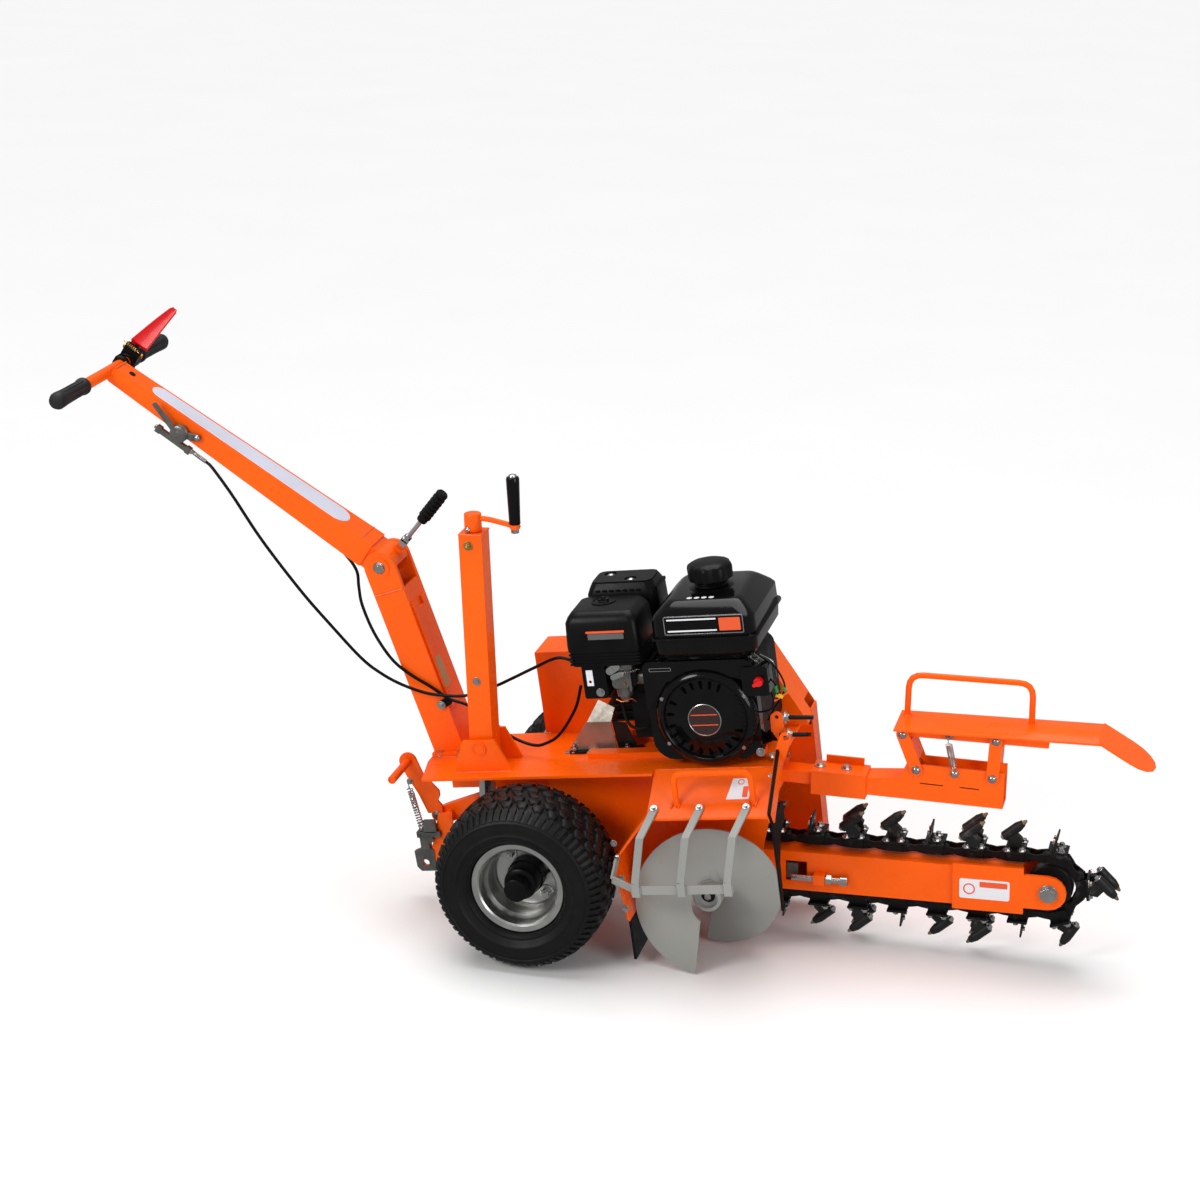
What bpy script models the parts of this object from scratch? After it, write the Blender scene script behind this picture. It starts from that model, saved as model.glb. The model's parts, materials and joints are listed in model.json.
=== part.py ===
"""Walk-behind chain trencher, in metres, +Z up, +X towards the digging boom, -Y the operator's left side.

Empties carry the groups: the chassis is tilted nose-up about the wheel axle, the boom about the head
shaft, and the jack, mast and handle lean the other way. Every moving piece hangs on an empty on its joint.
"""

from math import ceil, cos, pi, radians, sin

import bmesh
import bpy
from mathutils import Matrix, Vector

# Driving dimensions
AXLE_X = -0.10225  # wheel axle, ahead of or behind the middle of the machine's length
WHEEL_RADIUS = 0.165
WHEEL_WIDTH = 0.165
HALF_TRACK = 0.235
AXLE_RADIUS = 0.0125
CHASSIS_TILT = 8.0
BOOM_TILT = 1.8
JACK_TILT = 2.2
MAST_TILT = 20.2
HANDLE_TILT = -32.8
GAP = 0.0003  # between pieces that touch
PLATE = 0.005
SHEET = 0.003

# Deck and undercarriage, in the chassis frame (from the wheel axle, along the deck)
DECK_BACK, DECK_FRONT, DECK_HALF = -0.222, 0.475, 0.146
NEAR_EDGE = 0.165  # of the deck behind the auger's guard, out over the tyre
DECK_TOP = 0.166
DECK_UNDER = DECK_TOP - PLATE
FRAME_HALF = 0.095
RAIL_TOP = 0.1763
SWING_PIVOT = (0.140, 0.0, 0.020)
ROLLER_AT = (-0.109, 0.075)
PEDAL_PIVOT = (-0.2453, 0.0, 0.0294)
TRUNNION = (-0.0924, 0.2119)

# Jack, in its own frame (from its trunnion, up the post)
JACK_PIN = (-0.121, -0.0975, 0.362)
POST_HALF = 0.0225
POST_LOW, POST_TOP = -0.038, 0.415
RAM_RADIUS, RAM_FOOT = 0.016, -0.1255
SCREW_RADIUS = 0.010
CRANK_REACH = 0.080

# Boom, in its own frame (from the head shaft, along the boom)
HEAD_SHAFT = (0.330, 0.0, 0.136)
HEAD_IN_CHASSIS = (0.3227, -0.0746)
NOSE = 0.605
CHAIN_RADIUS = 0.056
CHAIN_HALF_HEIGHT = 0.012
CHAIN_HALF_WIDTH = 0.014
ATTACHMENTS = 21
AUGER_RADIUS = 0.134
AUGER_NEAR, AUGER_FAR = -0.236, -0.106
SHAFT_BORE = AXLE_RADIUS + 0.0004

# Engine, in the chassis frame
CRANKSHAFT = (0.3553, 0.2651)
FUEL_NECK = (0.375, -0.066)
SWITCH_AT = (0.462, 0.333)

# Handle, in its own frame (from the fold bolt, with the beam towards -X)
FOLD_BOLT = (-0.341, 0.0, 0.669)
BEAM_LOW_END, BEAM_HIGH_END = -0.035, -0.628
BEAM_UNDER = -0.026
BAR_AT = (-0.6395, -0.0156)
CLUTCH_PIVOT = (-0.649, 0.088, 0.0115)
THROTTLE_AT = (-0.4575, -0.0212)
LATCH_AT = (0.007, 0.045)

# Skid guard over the boom, level with the ground
LINK_FRONT_LOW, LINK_FRONT_HIGH = (0.821, 0.364), (0.824, 0.438)
LINK_REAR_LOW, LINK_REAR_HIGH = (0.682, 0.366), (0.654, 0.433)
LINK_PIN = 0.004

THROTTLE_ROUTE = (
    (-0.684, -0.038, 0.847), (-0.670, -0.043, 0.838), (-0.629, -0.052, 0.791), (-0.569, -0.060, 0.709),
    (-0.493, -0.066, 0.618), (-0.435, -0.068, 0.556), (-0.375, -0.066, 0.493), (-0.337, -0.064, 0.465),
    (-0.298, -0.062, 0.446), (-0.250, -0.061, 0.433), (-0.207, -0.060, 0.431), (-0.171, -0.060, 0.435),
    (-0.141, -0.062, 0.447), (-0.108, -0.064, 0.463), (-0.069, -0.070, 0.487), (-0.029, -0.080, 0.513),
    (0.020, -0.095, 0.543), (0.055, -0.100, 0.541), (0.097, -0.100, 0.522),
)
CLUTCH_ROUTE = (
    (-0.875, 0.074, 0.993), (-0.869, 0.052, 0.983), (-0.863, 0.028, 0.967), (-0.830, 0.004, 0.948),
    (-0.778, 0.000, 0.914), (-0.694, 0.000, 0.860), (-0.610, 0.000, 0.806), (-0.526, 0.000, 0.752),
    (-0.459, -0.008, 0.707), (-0.421, -0.014, 0.680), (-0.396, -0.020, 0.651), (-0.391, -0.024, 0.620),
    (-0.383, -0.030, 0.586), (-0.357, -0.040, 0.536), (-0.321, -0.0485, 0.491), (-0.286, -0.0495, 0.464),
    (-0.246, -0.0490, 0.443), (-0.207, -0.049, 0.421), (-0.172, -0.050, 0.413), (-0.141, -0.050, 0.397),
    (-0.110, -0.050, 0.376), (-0.077, -0.055, 0.357), (-0.035, -0.065, 0.351), (-0.008, -0.075, 0.362),
    (0.022, -0.085, 0.388), (0.056, -0.100, 0.448), (0.070, -0.110, 0.499),
)
CABLE_RADIUS = 0.003
CABLE_STEP = 0.016

for old in list(bpy.data.objects):
    bpy.data.objects.remove(old, do_unlink=True)
parts = bpy.data.collections.new("trencher")
bpy.context.scene.collection.children.link(parts)


def paint(name, colour, roughness, metallic=0.0):
    material = bpy.data.materials.new(name)
    material.use_nodes = True
    shader = material.node_tree.nodes["Principled BSDF"]
    shader.inputs["Base Color"].default_value = (*colour, 1.0)
    shader.inputs["Roughness"].default_value = roughness
    shader.inputs["Metallic"].default_value = metallic
    return material


ORANGE = paint("orange_paint", (0.90, 0.11, 0.005), 0.35)
BLACK_PAINT = paint("black_paint", (0.012, 0.012, 0.014), 0.25)
CASTING = paint("black_casting", (0.03, 0.03, 0.032), 0.6, 0.2)
BLACK_PLASTIC = paint("black_plastic", (0.02, 0.02, 0.021), 0.5)
RUBBER = paint("rubber", (0.018, 0.018, 0.018), 0.8)
TYRE = paint("tyre_rubber", (0.022, 0.022, 0.022), 0.85)
ZINC = paint("zinc_steel", (0.62, 0.62, 0.62), 0.3, 1.0)
GREY_PAINT = paint("grey_paint", (0.36, 0.37, 0.35), 0.5)
CAST_GREY = paint("cast_aluminium", (0.45, 0.46, 0.45), 0.45, 0.8)
CHAIN_STEEL = paint("chain_steel", (0.035, 0.034, 0.032), 0.5, 0.6)
RED = paint("red_plastic", (0.75, 0.01, 0.012), 0.35)


def frame(name, parent, at, tilt=0.0):
    """An empty whose +X is tilted up from its parent's by tilt degrees."""
    empty = bpy.data.objects.new(name, None)
    parts.objects.link(empty)
    empty.parent = parent
    empty.location = at
    empty.rotation_euler = (0.0, -radians(tilt), 0.0)
    return empty


def hinge(name, group, at):
    """An empty on a joint's axis; pieces hung on it are modelled in the group's frame."""
    empty = frame(name, group, at)
    empty["modelled_in_group"] = True
    return empty


def shape_of(mesh):
    shape = bpy.data.objects.new("shape", mesh)
    parts.objects.link(shape)
    return shape


def from_bmesh(work):
    mesh = bpy.data.meshes.new("shape")
    work.to_mesh(mesh)
    work.free()
    return shape_of(mesh)


def baked(source):
    """A mesh object from a curve or an object with modifiers, with its loose caps welded."""
    graph = bpy.context.evaluated_depsgraph_get()
    mesh = bpy.data.meshes.new_from_object(source.evaluated_get(graph))
    work = bmesh.new()
    work.from_mesh(mesh)
    bmesh.ops.remove_doubles(work, verts=work.verts, dist=1e-6)
    work.to_mesh(mesh)
    work.free()
    result = shape_of(mesh)
    result.matrix_world = source.matrix_world
    bpy.data.objects.remove(source, do_unlink=True)
    return result


def block(low, high):
    work = bmesh.new()
    bmesh.ops.create_cube(work, size=1.0)
    size = [b - a for a, b in zip(low, high)]
    centre = [(a + b) / 2 for a, b in zip(low, high)]
    bmesh.ops.scale(work, vec=size, verts=work.verts)
    bmesh.ops.translate(work, vec=centre, verts=work.verts)
    return from_bmesh(work)


def taper(back_x, back_half, back_z, front_x, front_half, front_z):
    """A box whose section changes from its back end to its front end; z is (low, high)."""
    shape = block((-1, -1, -1), (1, 1, 1))
    for vertex in shape.data.vertices:
        x, y, z = vertex.co
        half, levels = (back_half, back_z) if x < 0 else (front_half, front_z)
        vertex.co = (back_x if x < 0 else front_x, y * half, levels[0] if z < 0 else levels[1])
    return shape


def rod(start, end, radius, sides=16, end_radius=None):
    start, end = Vector(start), Vector(end)
    work = bmesh.new()
    length = (end - start).length
    last = radius if end_radius is None else end_radius
    bmesh.ops.create_cone(work, cap_ends=True, segments=sides, radius1=radius, radius2=last, depth=length)
    turn = (end - start).to_track_quat("Z", "Y").to_matrix().to_4x4()
    bmesh.ops.transform(work, matrix=Matrix.Translation((start + end) / 2) @ turn, verts=work.verts)
    return from_bmesh(work)


def across(x, z, y_low, y_high, radius, sides=16):
    """A round bar or bore across the machine."""
    return rod((x, y_low, z), (x, y_high, z), radius, sides)


def strut(start, end, width, depth, side=(0.0, 1.0, 0.0)):
    """A flat bar between two points. Its width lies towards side, which is across the machine."""
    start, end = Vector(start), Vector(end)
    along = (end - start).normalized()
    side = Vector(side)
    side = (side - along * side.dot(along)).normalized()
    turn = Matrix((side, along.cross(side), along)).transposed().to_4x4()
    length = (end - start).length + depth
    work = bmesh.new()
    bmesh.ops.create_cube(work, size=1.0)
    bmesh.ops.scale(work, vec=(width, depth, length), verts=work.verts)
    bmesh.ops.transform(work, matrix=Matrix.Translation((start + end) / 2) @ turn, verts=work.verts)
    return from_bmesh(work)


FORWARD, UPWARD = (1.0, 0.0, 0.0), (0.0, 0.0, 1.0)
AXIS_TURNS = {
    "X": Matrix(((0, 0, 1), (1, 0, 0), (0, 1, 0))),
    "Y": Matrix(((1, 0, 0), (0, 0, 1), (0, 1, 0))),
    "Z": Matrix.Identity(3),
}


def plate(outlines, low, high, axis="Y"):
    """Flat outlines extruded from low to high along an axis. A second outline inside the first is a hole.

    Outlines are (X, Z) points for axis Y, (Y, Z) for axis X and (X, Y) for axis Z.
    """
    curve = bpy.data.curves.new("outline", "CURVE")
    curve.dimensions = "2D"
    curve.fill_mode = "BOTH"
    curve.extrude = (high - low) / 2
    for outline in outlines:
        spline = curve.splines.new("POLY")
        spline.points.add(len(outline) - 1)
        for point, (a, b) in zip(spline.points, outline):
            point.co = (a, b, 0.0, 1.0)
        spline.use_cyclic_u = True
    source = bpy.data.objects.new("outline", curve)
    parts.objects.link(source)
    shape = baked(source)
    work = bmesh.new()
    work.from_mesh(shape.data)
    bmesh.ops.translate(work, vec=(0, 0, (low + high) / 2), verts=work.verts)
    bmesh.ops.transform(work, matrix=AXIS_TURNS[axis].to_4x4(), verts=work.verts)
    bmesh.ops.recalc_face_normals(work, faces=work.faces)
    work.to_mesh(shape.data)
    work.free()
    return shape


def arc(centre, radius, start, end, steps):
    """Points round a circle, from start to end in degrees."""
    turns = (radians(start + (end - start) * i / steps) for i in range(steps + 1))
    return [(centre[0] + radius * cos(a), centre[1] + radius * sin(a)) for a in turns]


def link_outline(low, high, half):
    """A straight link with round ends, as an outline through its two pivots."""
    lean = Vector((high[0] - low[0], high[1] - low[1])).angle_signed(Vector((0, 1))) * 180 / pi
    return arc(high, half, lean, lean + 180, 6) + arc(low, half, lean + 180, lean + 360, 6)


def turned(profile, sides, at=(0.0, 0.0, 0.0), mirrored=False):
    """A closed (radius, Y) profile turned about the Y axis through a point."""
    mesh = bpy.data.meshes.new("profile")
    count = len(profile)
    mesh.from_pydata([(r, 0.0, y) for r, y in profile], [(i, (i + 1) % count) for i in range(count)], [])
    source = shape_of(mesh)
    screw = source.modifiers.new("turn", "SCREW")
    screw.steps = screw.render_steps = sides
    screw.use_merge_vertices = True
    screw.merge_threshold = 1e-5
    shape = baked(source)
    work = bmesh.new()
    work.from_mesh(shape.data)
    flip = -1.0 if mirrored else 1.0
    upright = Matrix(((1, 0, 0), (0, 0, flip), (0, -1, 0)))
    bmesh.ops.transform(work, matrix=Matrix.Translation(at) @ upright.to_4x4(), verts=work.verts)
    bmesh.ops.recalc_face_normals(work, faces=work.faces)
    work.to_mesh(shape.data)
    work.free()
    return shape


def smooth_path(route, step):
    """Evenly spaced points on a Catmull-Rom curve through a route."""
    points = [Vector(p) for p in route]
    points = [2 * points[0] - points[1], *points, 2 * points[-1] - points[-2]]
    fine = []
    for a, b, c, d in zip(points, points[1:], points[2:], points[3:]):
        for i in range(12):
            t = i / 12
            fine.append(0.5 * (2 * b + (c - a) * t + (2 * a - 5 * b + 4 * c - d) * t**2
                               + (3 * b - a - 3 * c + d) * t**3))
    fine.append(points[-2])
    lengths = [0.0]
    for a, b in zip(fine, fine[1:]):
        lengths.append(lengths[-1] + (b - a).length)
    count = ceil(lengths[-1] / step)
    path = []
    for i in range(count + 1):
        wanted = lengths[-1] * i / count
        j = max(k for k, value in enumerate(lengths[:-1]) if value <= wanted + 1e-9)
        share = (wanted - lengths[j]) / (lengths[j + 1] - lengths[j])
        path.append(fine[j].lerp(fine[j + 1], share))
    return path


def rounded(corners, radius, steps=4):
    """A path through corners, each rounded to a radius."""
    corners = [Vector(c) for c in corners]
    path = [corners[0]]
    for a, b, c in zip(corners, corners[1:], corners[2:]):
        into, out = (b - a).normalized(), (c - b).normalized()
        start, end = b - into * radius, b + out * radius
        for i in range(steps + 1):
            t = i / steps
            path.append(start * (1 - t) ** 2 + b * 2 * t * (1 - t) + end * t**2)
    return path + [corners[-1]]


def tube(path, radius, resolution=2):
    """A round wire or rail along a path."""
    curve = bpy.data.curves.new("path", "CURVE")
    curve.dimensions = "3D"
    curve.bevel_depth = radius
    curve.bevel_resolution = resolution
    curve.use_fill_caps = True
    spline = curve.splines.new("POLY")
    spline.points.add(len(path) - 1)
    for point, place in zip(spline.points, path):
        point.co = (*place, 1.0)
    source = bpy.data.objects.new("path", curve)
    parts.objects.link(source)
    return baked(source)


def carried(shape, source, target):
    """The shape, modelled in one frame, put into another."""
    bpy.context.view_layer.update()
    shape.data.transform(target.matrix_world.inverted() @ source.matrix_world)
    return shape


def combine(body, other, operation):
    modifier = body.modifiers.new(operation.lower(), "BOOLEAN")
    modifier.operation = operation
    modifier.solver = "EXACT"
    modifier.object = other
    result = baked(body)
    bpy.data.objects.remove(other, do_unlink=True)
    return result


def node(name, look, parent, shapes, cuts=(), bevel=0.0):
    """One named piece: its shapes welded together, its cuts taken out, hung on its parent."""
    body = shapes[0]
    for other in shapes[1:]:
        body = combine(body, other, "UNION")
    for cut in cuts:
        body = combine(body, cut, "DIFFERENCE")
    if bevel:
        edge = body.modifiers.new("edges", "BEVEL")
        edge.width = bevel
        edge.segments = 2
        edge.limit_method = "ANGLE"
        body = baked(body)
    body.name = body.data.name = name
    if parent.get("modelled_in_group"):
        body.data.transform(Matrix.Translation(-parent.location))
    body.parent = parent
    body.data.materials.clear()
    body.data.materials.append(look)
    body.data.shade_smooth()
    body.data.set_sharp_from_angle(angle=radians(35))
    return body


machine = frame("machine", None, (AXLE_X, 0.0, 0.0))
chassis = frame("chassis", machine, (0.0, 0.0, WHEEL_RADIUS), CHASSIS_TILT)
boom = frame("boom", machine, HEAD_SHAFT, BOOM_TILT)
jack = frame("jack", machine, JACK_PIN, JACK_TILT)
mast = frame("mast_frame", machine, FOLD_BOLT, MAST_TILT)
handle = frame("handle", machine, FOLD_BOLT, HANDLE_TILT)


# Chassis -----------------------------------------------------------------------------------------

def trapezium(base_low, base_high, top_low, top_high, bottom, top):
    return [(base_low, bottom), (base_high, bottom), (top_high, top), (top_low, top)]


def make_deck():
    past = DECK_HALF + 0.02
    behind_guard, far_step = -0.0265, 0.058
    top = [(DECK_BACK + 0.018, -NEAR_EDGE), (0.2445, -NEAR_EDGE), (0.2445, -DECK_HALF), (DECK_FRONT, -DECK_HALF),
           (DECK_FRONT, DECK_HALF), (behind_guard, DECK_HALF), (behind_guard, far_step), (DECK_BACK, far_step),
           (DECK_BACK, -0.075)]
    shapes = [
        plate([top], DECK_UNDER, DECK_TOP, "Z"),
        block((0.10, -0.085, DECK_UNDER + 0.002), (0.44, -0.060, RAIL_TOP)),
        block((0.10, 0.005, DECK_UNDER + 0.002), (0.44, 0.030, RAIL_TOP)),
    ]
    cheek = trapezium(-0.148, -0.033, -0.124, -0.061, DECK_TOP - 0.003, 0.228)
    for low in (-0.134, -0.067):
        shapes.append(plate([cheek], low, low + 0.006))
    belt_notch = block((0.272, 0.0975, DECK_UNDER - 0.04), (0.52, past, DECK_TOP + 0.02))
    trunnion_bore = across(*TRUNNION, -0.14, -0.055, 0.0085)
    ram_hole = carried(rod((0, 0, -0.03), (0, 0, -0.08), RAM_RADIUS + 0.005), jack, chassis)
    node("deck", ORANGE, chassis, shapes, [belt_notch, trunnion_bore, ram_hole])


def make_undercarriage():
    top = DECK_UNDER - GAP
    x, z = HEAD_IN_CHASSIS
    side = [(0.02, top), (0.441, top), (0.441, 0.060), (0.415, -0.02), (0.415, -0.112), (0.385, -0.118),
            (0.285, -0.118), (0.10, -0.012), (0.02, 0.045)]
    inner = FRAME_HALF - PLATE
    shapes = [plate([side], -FRAME_HALF, -inner), plate([side], inner, FRAME_HALF)]
    shapes.append(block((0.4355, -0.092, 0.065), (0.4405, 0.092, top - 0.001)))
    shapes.append(block((0.022, -0.092, 0.098), (0.027, 0.092, top - 0.001)))
    shapes.append(block((-0.19, -0.05, 0.1005), (0.0245, 0.05, top - 0.0005)))
    for low, high in ((-0.0995, -0.078), (0.078, 0.0995)):
        shapes.append(across(x, z, low, high, 0.028, 20))
    hollow = block((-0.186, -0.046, 0.09), (0.0, 0.046, top - 0.0035))
    bore = across(x, z, -0.12, 0.12, AXLE_RADIUS + 0.0008, 20)
    node("undercarriage", ORANGE, chassis, shapes, [hollow, bore])


def make_drive_guard():
    near, far = 0.055, 0.148
    low_near = 0.1003
    base = DECK_TOP + GAP
    x, z = HEAD_IN_CHASSIS
    upper = [(-0.023, base), (-0.023, 0.331), (0.410, 0.331), (0.492, 0.175), (0.492, base)]
    lower = [(0.2755, 0.18), (0.492, 0.18), (0.486, -0.165), (0.225, -0.165), (0.225, 0.158), (0.2755, 0.158)]
    upper_room = [(-0.020, 0.15), (-0.020, 0.328), (0.408, 0.328), (0.489, 0.1743), (0.489, 0.15)]
    lower_room = [(0.2785, 0.2), (0.489, 0.2), (0.483, -0.18), (0.228, -0.18), (0.228, 0.155), (0.2785, 0.155)]
    cuts = [
        plate([upper_room], near + SHEET, far - SHEET),
        plate([lower_room], low_near + SHEET, far - SHEET),
        across(x, z, 0.09, 0.12, 0.0135),
        across(*CRANKSHAFT, 0.04, 0.09, 0.014),
    ]
    node("drive_guard", ORANGE, chassis, [plate([upper], near, far), plate([lower], low_near, far)], cuts)


def make_auger_guard():
    """The sloped lid beside the deck, its carrying hoop, and the back wall of the auger's chamber."""
    lid = [(-0.1465, 0.166), (-0.2405, 0.109), (-0.2405, 0.1045), (-0.1465, 0.1615)]
    rib = [(-0.2405, 0.107), (-0.1467, 0.1635), (-0.1467, 0.105)]
    wall_low, wall_mid, wall_top = (0.1858, -0.0961), (0.173, 0.0219), (0.250, 0.112)
    wall = [wall_top, wall_mid, wall_low, (wall_low[0] - 0.004, wall_low[1]),
            (wall_mid[0] - 0.0045, wall_mid[1]), (wall_top[0] - 0.005, wall_top[1] + 0.002)]
    hoop = [(0.2985, -0.215, 0.1225), (0.2985, -0.215, 0.185), (0.4415, -0.215, 0.185), (0.4415, -0.215, 0.1225)]
    node("auger_guard", ORANGE, chassis, [
        plate([lid], 0.2455, 0.470, "X"),
        plate([rib], 0.2455, 0.2495, "X"),
        plate([rib], 0.466, 0.470, "X"),
        plate([wall], -0.235, -0.110),
        tube(rounded(hoop, 0.018), 0.006),
    ])


def make_auger_cage():
    """Three bent flat bars over the auger's open end, a cross bar, and a bar back to the wall."""
    shapes = [strut((0.220, -0.285, -0.012), (0.4025, -0.285, -0.012), 0.004, 0.020)]
    for x in (0.259, 0.344, 0.4305):
        top, bend, foot = (x, -0.225, 0.1235), (x - 0.018, -0.283, 0.0884), (x - 0.037, -0.285, -0.012)
        shapes += [strut(top, bend, 0.014, 0.004, FORWARD), strut(bend, foot, 0.014, 0.004, FORWARD)]
    shapes.append(strut((0.229, -0.285, -0.0115), (0.1765, -0.268, 0.003), 0.014, 0.004, UPWARD))
    shapes.append(strut((0.1768, -0.2685, 0.0025), (0.1800, -0.2400, 0.028), 0.0135, 0.004, UPWARD))
    node("auger_cage", GREY_PAINT, chassis, shapes)


def make_curtains():
    node("rear_flap", RUBBER, chassis, [block((0.1815, -0.230, -0.176), (0.1865, -0.115, -0.0967))])
    curtain = [(-0.238, 0.100), (-0.238, -0.078), (-0.226, -0.078), (-0.216, 0.010), (-0.190, 0.050), (-0.145, 0.066),
               (-0.145, 0.100)]
    node("side_curtain", RUBBER, chassis, [plate([curtain], 0.4733, 0.4773, "X")])


# Engine ------------------------------------------------------------------------------------------

def make_engine():
    base = RAIL_TOP + GAP
    node("engine_block", CASTING, chassis, [
        block((0.245, -0.108, base), (0.452, 0.050, 0.372)),
        block((0.135, -0.040, 0.215), (0.250, 0.049, 0.3715)),
    ], [across(*CRANKSHAFT, 0.030, 0.06, 0.0145), block((0.262, -0.090, 0.16), (0.436, 0.034, 0.354))])
    node("recoil_housing", BLACK_PAINT, chassis, [
        across(*CRANKSHAFT, -0.158, -0.1085, 0.0945, 28),
        block((0.245, -0.146, 0.235), (0.452, -0.1085, 0.372)),
        block((0.430, -0.150, 0.300), (0.479, -0.1125, 0.362)),
    ])
    node("fuel_tank", BLACK_PAINT, chassis, [block((0.273, -0.180, 0.3755), (0.477, 0.052, 0.4885))], bevel=0.018)
    node("air_cleaner", BLACK_PLASTIC, chassis, [block((0.115, -0.165, 0.3765), (0.254, -0.0455, 0.477))],
         bevel=0.008)
    node("carburettor", CASTING, chassis, [
        block((0.133, -0.146, 0.3075), (0.183, -0.106, 0.3745)),
        block((0.181, -0.140, 0.292), (0.229, -0.070, 0.3755)),
        across(0.215, 0.310, -0.130, -0.090, 0.022),
    ])
    node("muffler", BLACK_PLASTIC, chassis, [block((0.125, -0.041, 0.3745), (0.262, 0.050, 0.500))], bevel=0.008)
    node("heat_shield", CAST_GREY, chassis, [
        plate([trapezium(0.050, 0.148, 0.094, 0.142, DECK_TOP + GAP, 0.226)], -0.046, -0.043),
        block((0.046, -0.057, DECK_TOP + GAP), (0.150, -0.0435, DECK_TOP + 0.003)),
    ])
    x, y = FUEL_NECK
    cap = hinge("fuel_cap_axis", chassis, (x, y, 0.493))
    node("fuel_cap", BLACK_PLASTIC, cap, [
        rod((x, y, 0.4888), (x, y, 0.504), 0.029),
        rod((x, y, 0.503), (x, y, 0.539), 0.040, 12),
    ])
    x, z = SWITCH_AT
    switch = hinge("kill_switch_axis", chassis, (x, -0.150, z))
    node("kill_switch", RED, switch, [
        across(x, z, -0.163, -0.1503, 0.011),
        block((x - 0.009, -0.170, z - 0.004), (x + 0.009, -0.162, z + 0.004)),
    ])


def make_belt_drive():
    x, z = CRANKSHAFT
    shaft = hinge("crankshaft_axis", chassis, (x, 0.0, z))
    node("engine_pulley", CAST_GREY, shaft, [
        across(x, z, 0.0345, 0.140, 0.0095),
        turned([(0.0080, 0.110), (0.040, 0.110), (0.034, 0.118), (0.034, 0.126), (0.040, 0.134), (0.0080, 0.134)],
               24, (x, 0.0, z)),
    ])
    hx, hz = HEAD_IN_CHASSIS
    ring = []
    for grow in (0.010, 0.001):
        ring.append(arc((x, z), 0.0345 + grow, -9, 165, 10) + arc((hx, hz), 0.0745 + grow, 165, 351, 14))
    node("drive_belt", RUBBER, chassis, [plate(ring, 0.1185, 0.1255)])


# Wheels and swing frame --------------------------------------------------------------------------

def make_swing_frame(pivot):
    x, _, z = SWING_PIVOT
    rx, rz = ROLLER_AT
    arm = [(0.156, 0.004), (0.156, 0.036), (0.10, 0.038), (-0.09, 0.090), (-0.122, 0.088), (-0.122, 0.062),
           (-0.022, -0.012), (0.0, -0.022), (0.022, -0.014)]
    shapes = [plate([arm], -0.082, -0.074), plate([arm], 0.074, 0.082)]
    shapes.append(across(x, z, -0.0895, 0.0895, 0.0155))
    shapes.append(across(rx, rz, -0.118, 0.078, 0.012))
    px, _, pz = PEDAL_PIVOT
    spine = [(-0.100, 0.085), (-0.100, 0.062), (-0.215, 0.014), (px, pz - 0.011), (px, pz + 0.011), (-0.225, 0.048)]
    shapes.append(plate([spine], -0.008, 0.008))
    shapes.append(across(px, pz, -0.008, 0.008, 0.011))
    shapes.append(across(-0.220, 0.031, -0.034, 0.007, 0.008))
    bracket = [(-0.236, 0.040), (-0.208, 0.040), (-0.214, -0.020), (-0.262, -0.078), (-0.292, -0.078),
               (-0.292, -0.046), (-0.262, -0.036)]
    shapes.append(plate([bracket], -0.033, -0.026))
    cuts = [
        across(0.0, 0.0, -0.09, 0.09, AXLE_RADIUS + GAP, 20),
        across(px, pz, -0.02, 0.02, 0.0053),
        across(-0.277, -0.062, -0.04, -0.02, 0.007),
    ]
    node("swing_frame", CASTING, pivot, shapes, cuts)
    node("wheel_axle", ZINC, pivot, [across(0.0, 0.0, -0.244, 0.244, AXLE_RADIUS, 20)])


RIM_PROFILE = [
    (0.0865, -0.060), (0.0865, -0.056), (0.078, -0.054), (0.076, -0.040), (0.068, -0.030), (0.068, 0.030),
    (0.076, 0.040), (0.078, 0.054), (0.0865, 0.056), (0.0865, 0.060), (0.0745, 0.058), (0.0725, 0.042),
    (0.0645, 0.032), (0.0645, 0.016), (0.0130, 0.016), (0.0130, 0.011), (0.0645, 0.011), (0.0645, -0.032),
    (0.0725, -0.042), (0.0745, -0.058),
]
HUB_PROFILE = [(0.0, -0.074), (0.0225, -0.074), (0.0225, -0.046), (0.032, -0.044), (0.036, 0.0107), (0.0130, 0.0107),
               (0.0130, -0.016), (0.0, -0.016)]


def tyre_profile():
    half = WHEEL_WIDTH / 2
    outer = [(0.0795, 0.0530), (0.0880, 0.0540), (0.094, 0.071), (0.115, half), (0.140, half - 0.002),
             (0.156, 0.068), (0.1635, 0.045), (WHEEL_RADIUS, 0.015)]
    inner = [(0.152, 0.015), (0.151, 0.042), (0.144, 0.058), (0.130, 0.068), (0.112, 0.069), (0.098, 0.058),
             (0.090, 0.044), (0.0795, 0.043)]
    far_side = outer + [(r, -y) for r, y in reversed(outer)]
    return far_side + [(r, -y) for r, y in reversed(inner)] + inner


def make_wheel(side, at_y, flip, swing):
    spin = frame("wheel_" + side + "_axis", swing, (-SWING_PIVOT[0], at_y, -SWING_PIVOT[2]), -CHASSIS_TILT)
    node("tyre_" + side, TYRE, spin, [turned(tyre_profile(), 28, mirrored=flip)])
    node("rim_" + side, ZINC, spin, [turned(RIM_PROFILE, 20, mirrored=flip)])
    node("hub_cap_" + side, BLACK_PLASTIC, spin, [turned(HUB_PROFILE, 16, mirrored=flip)])


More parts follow.
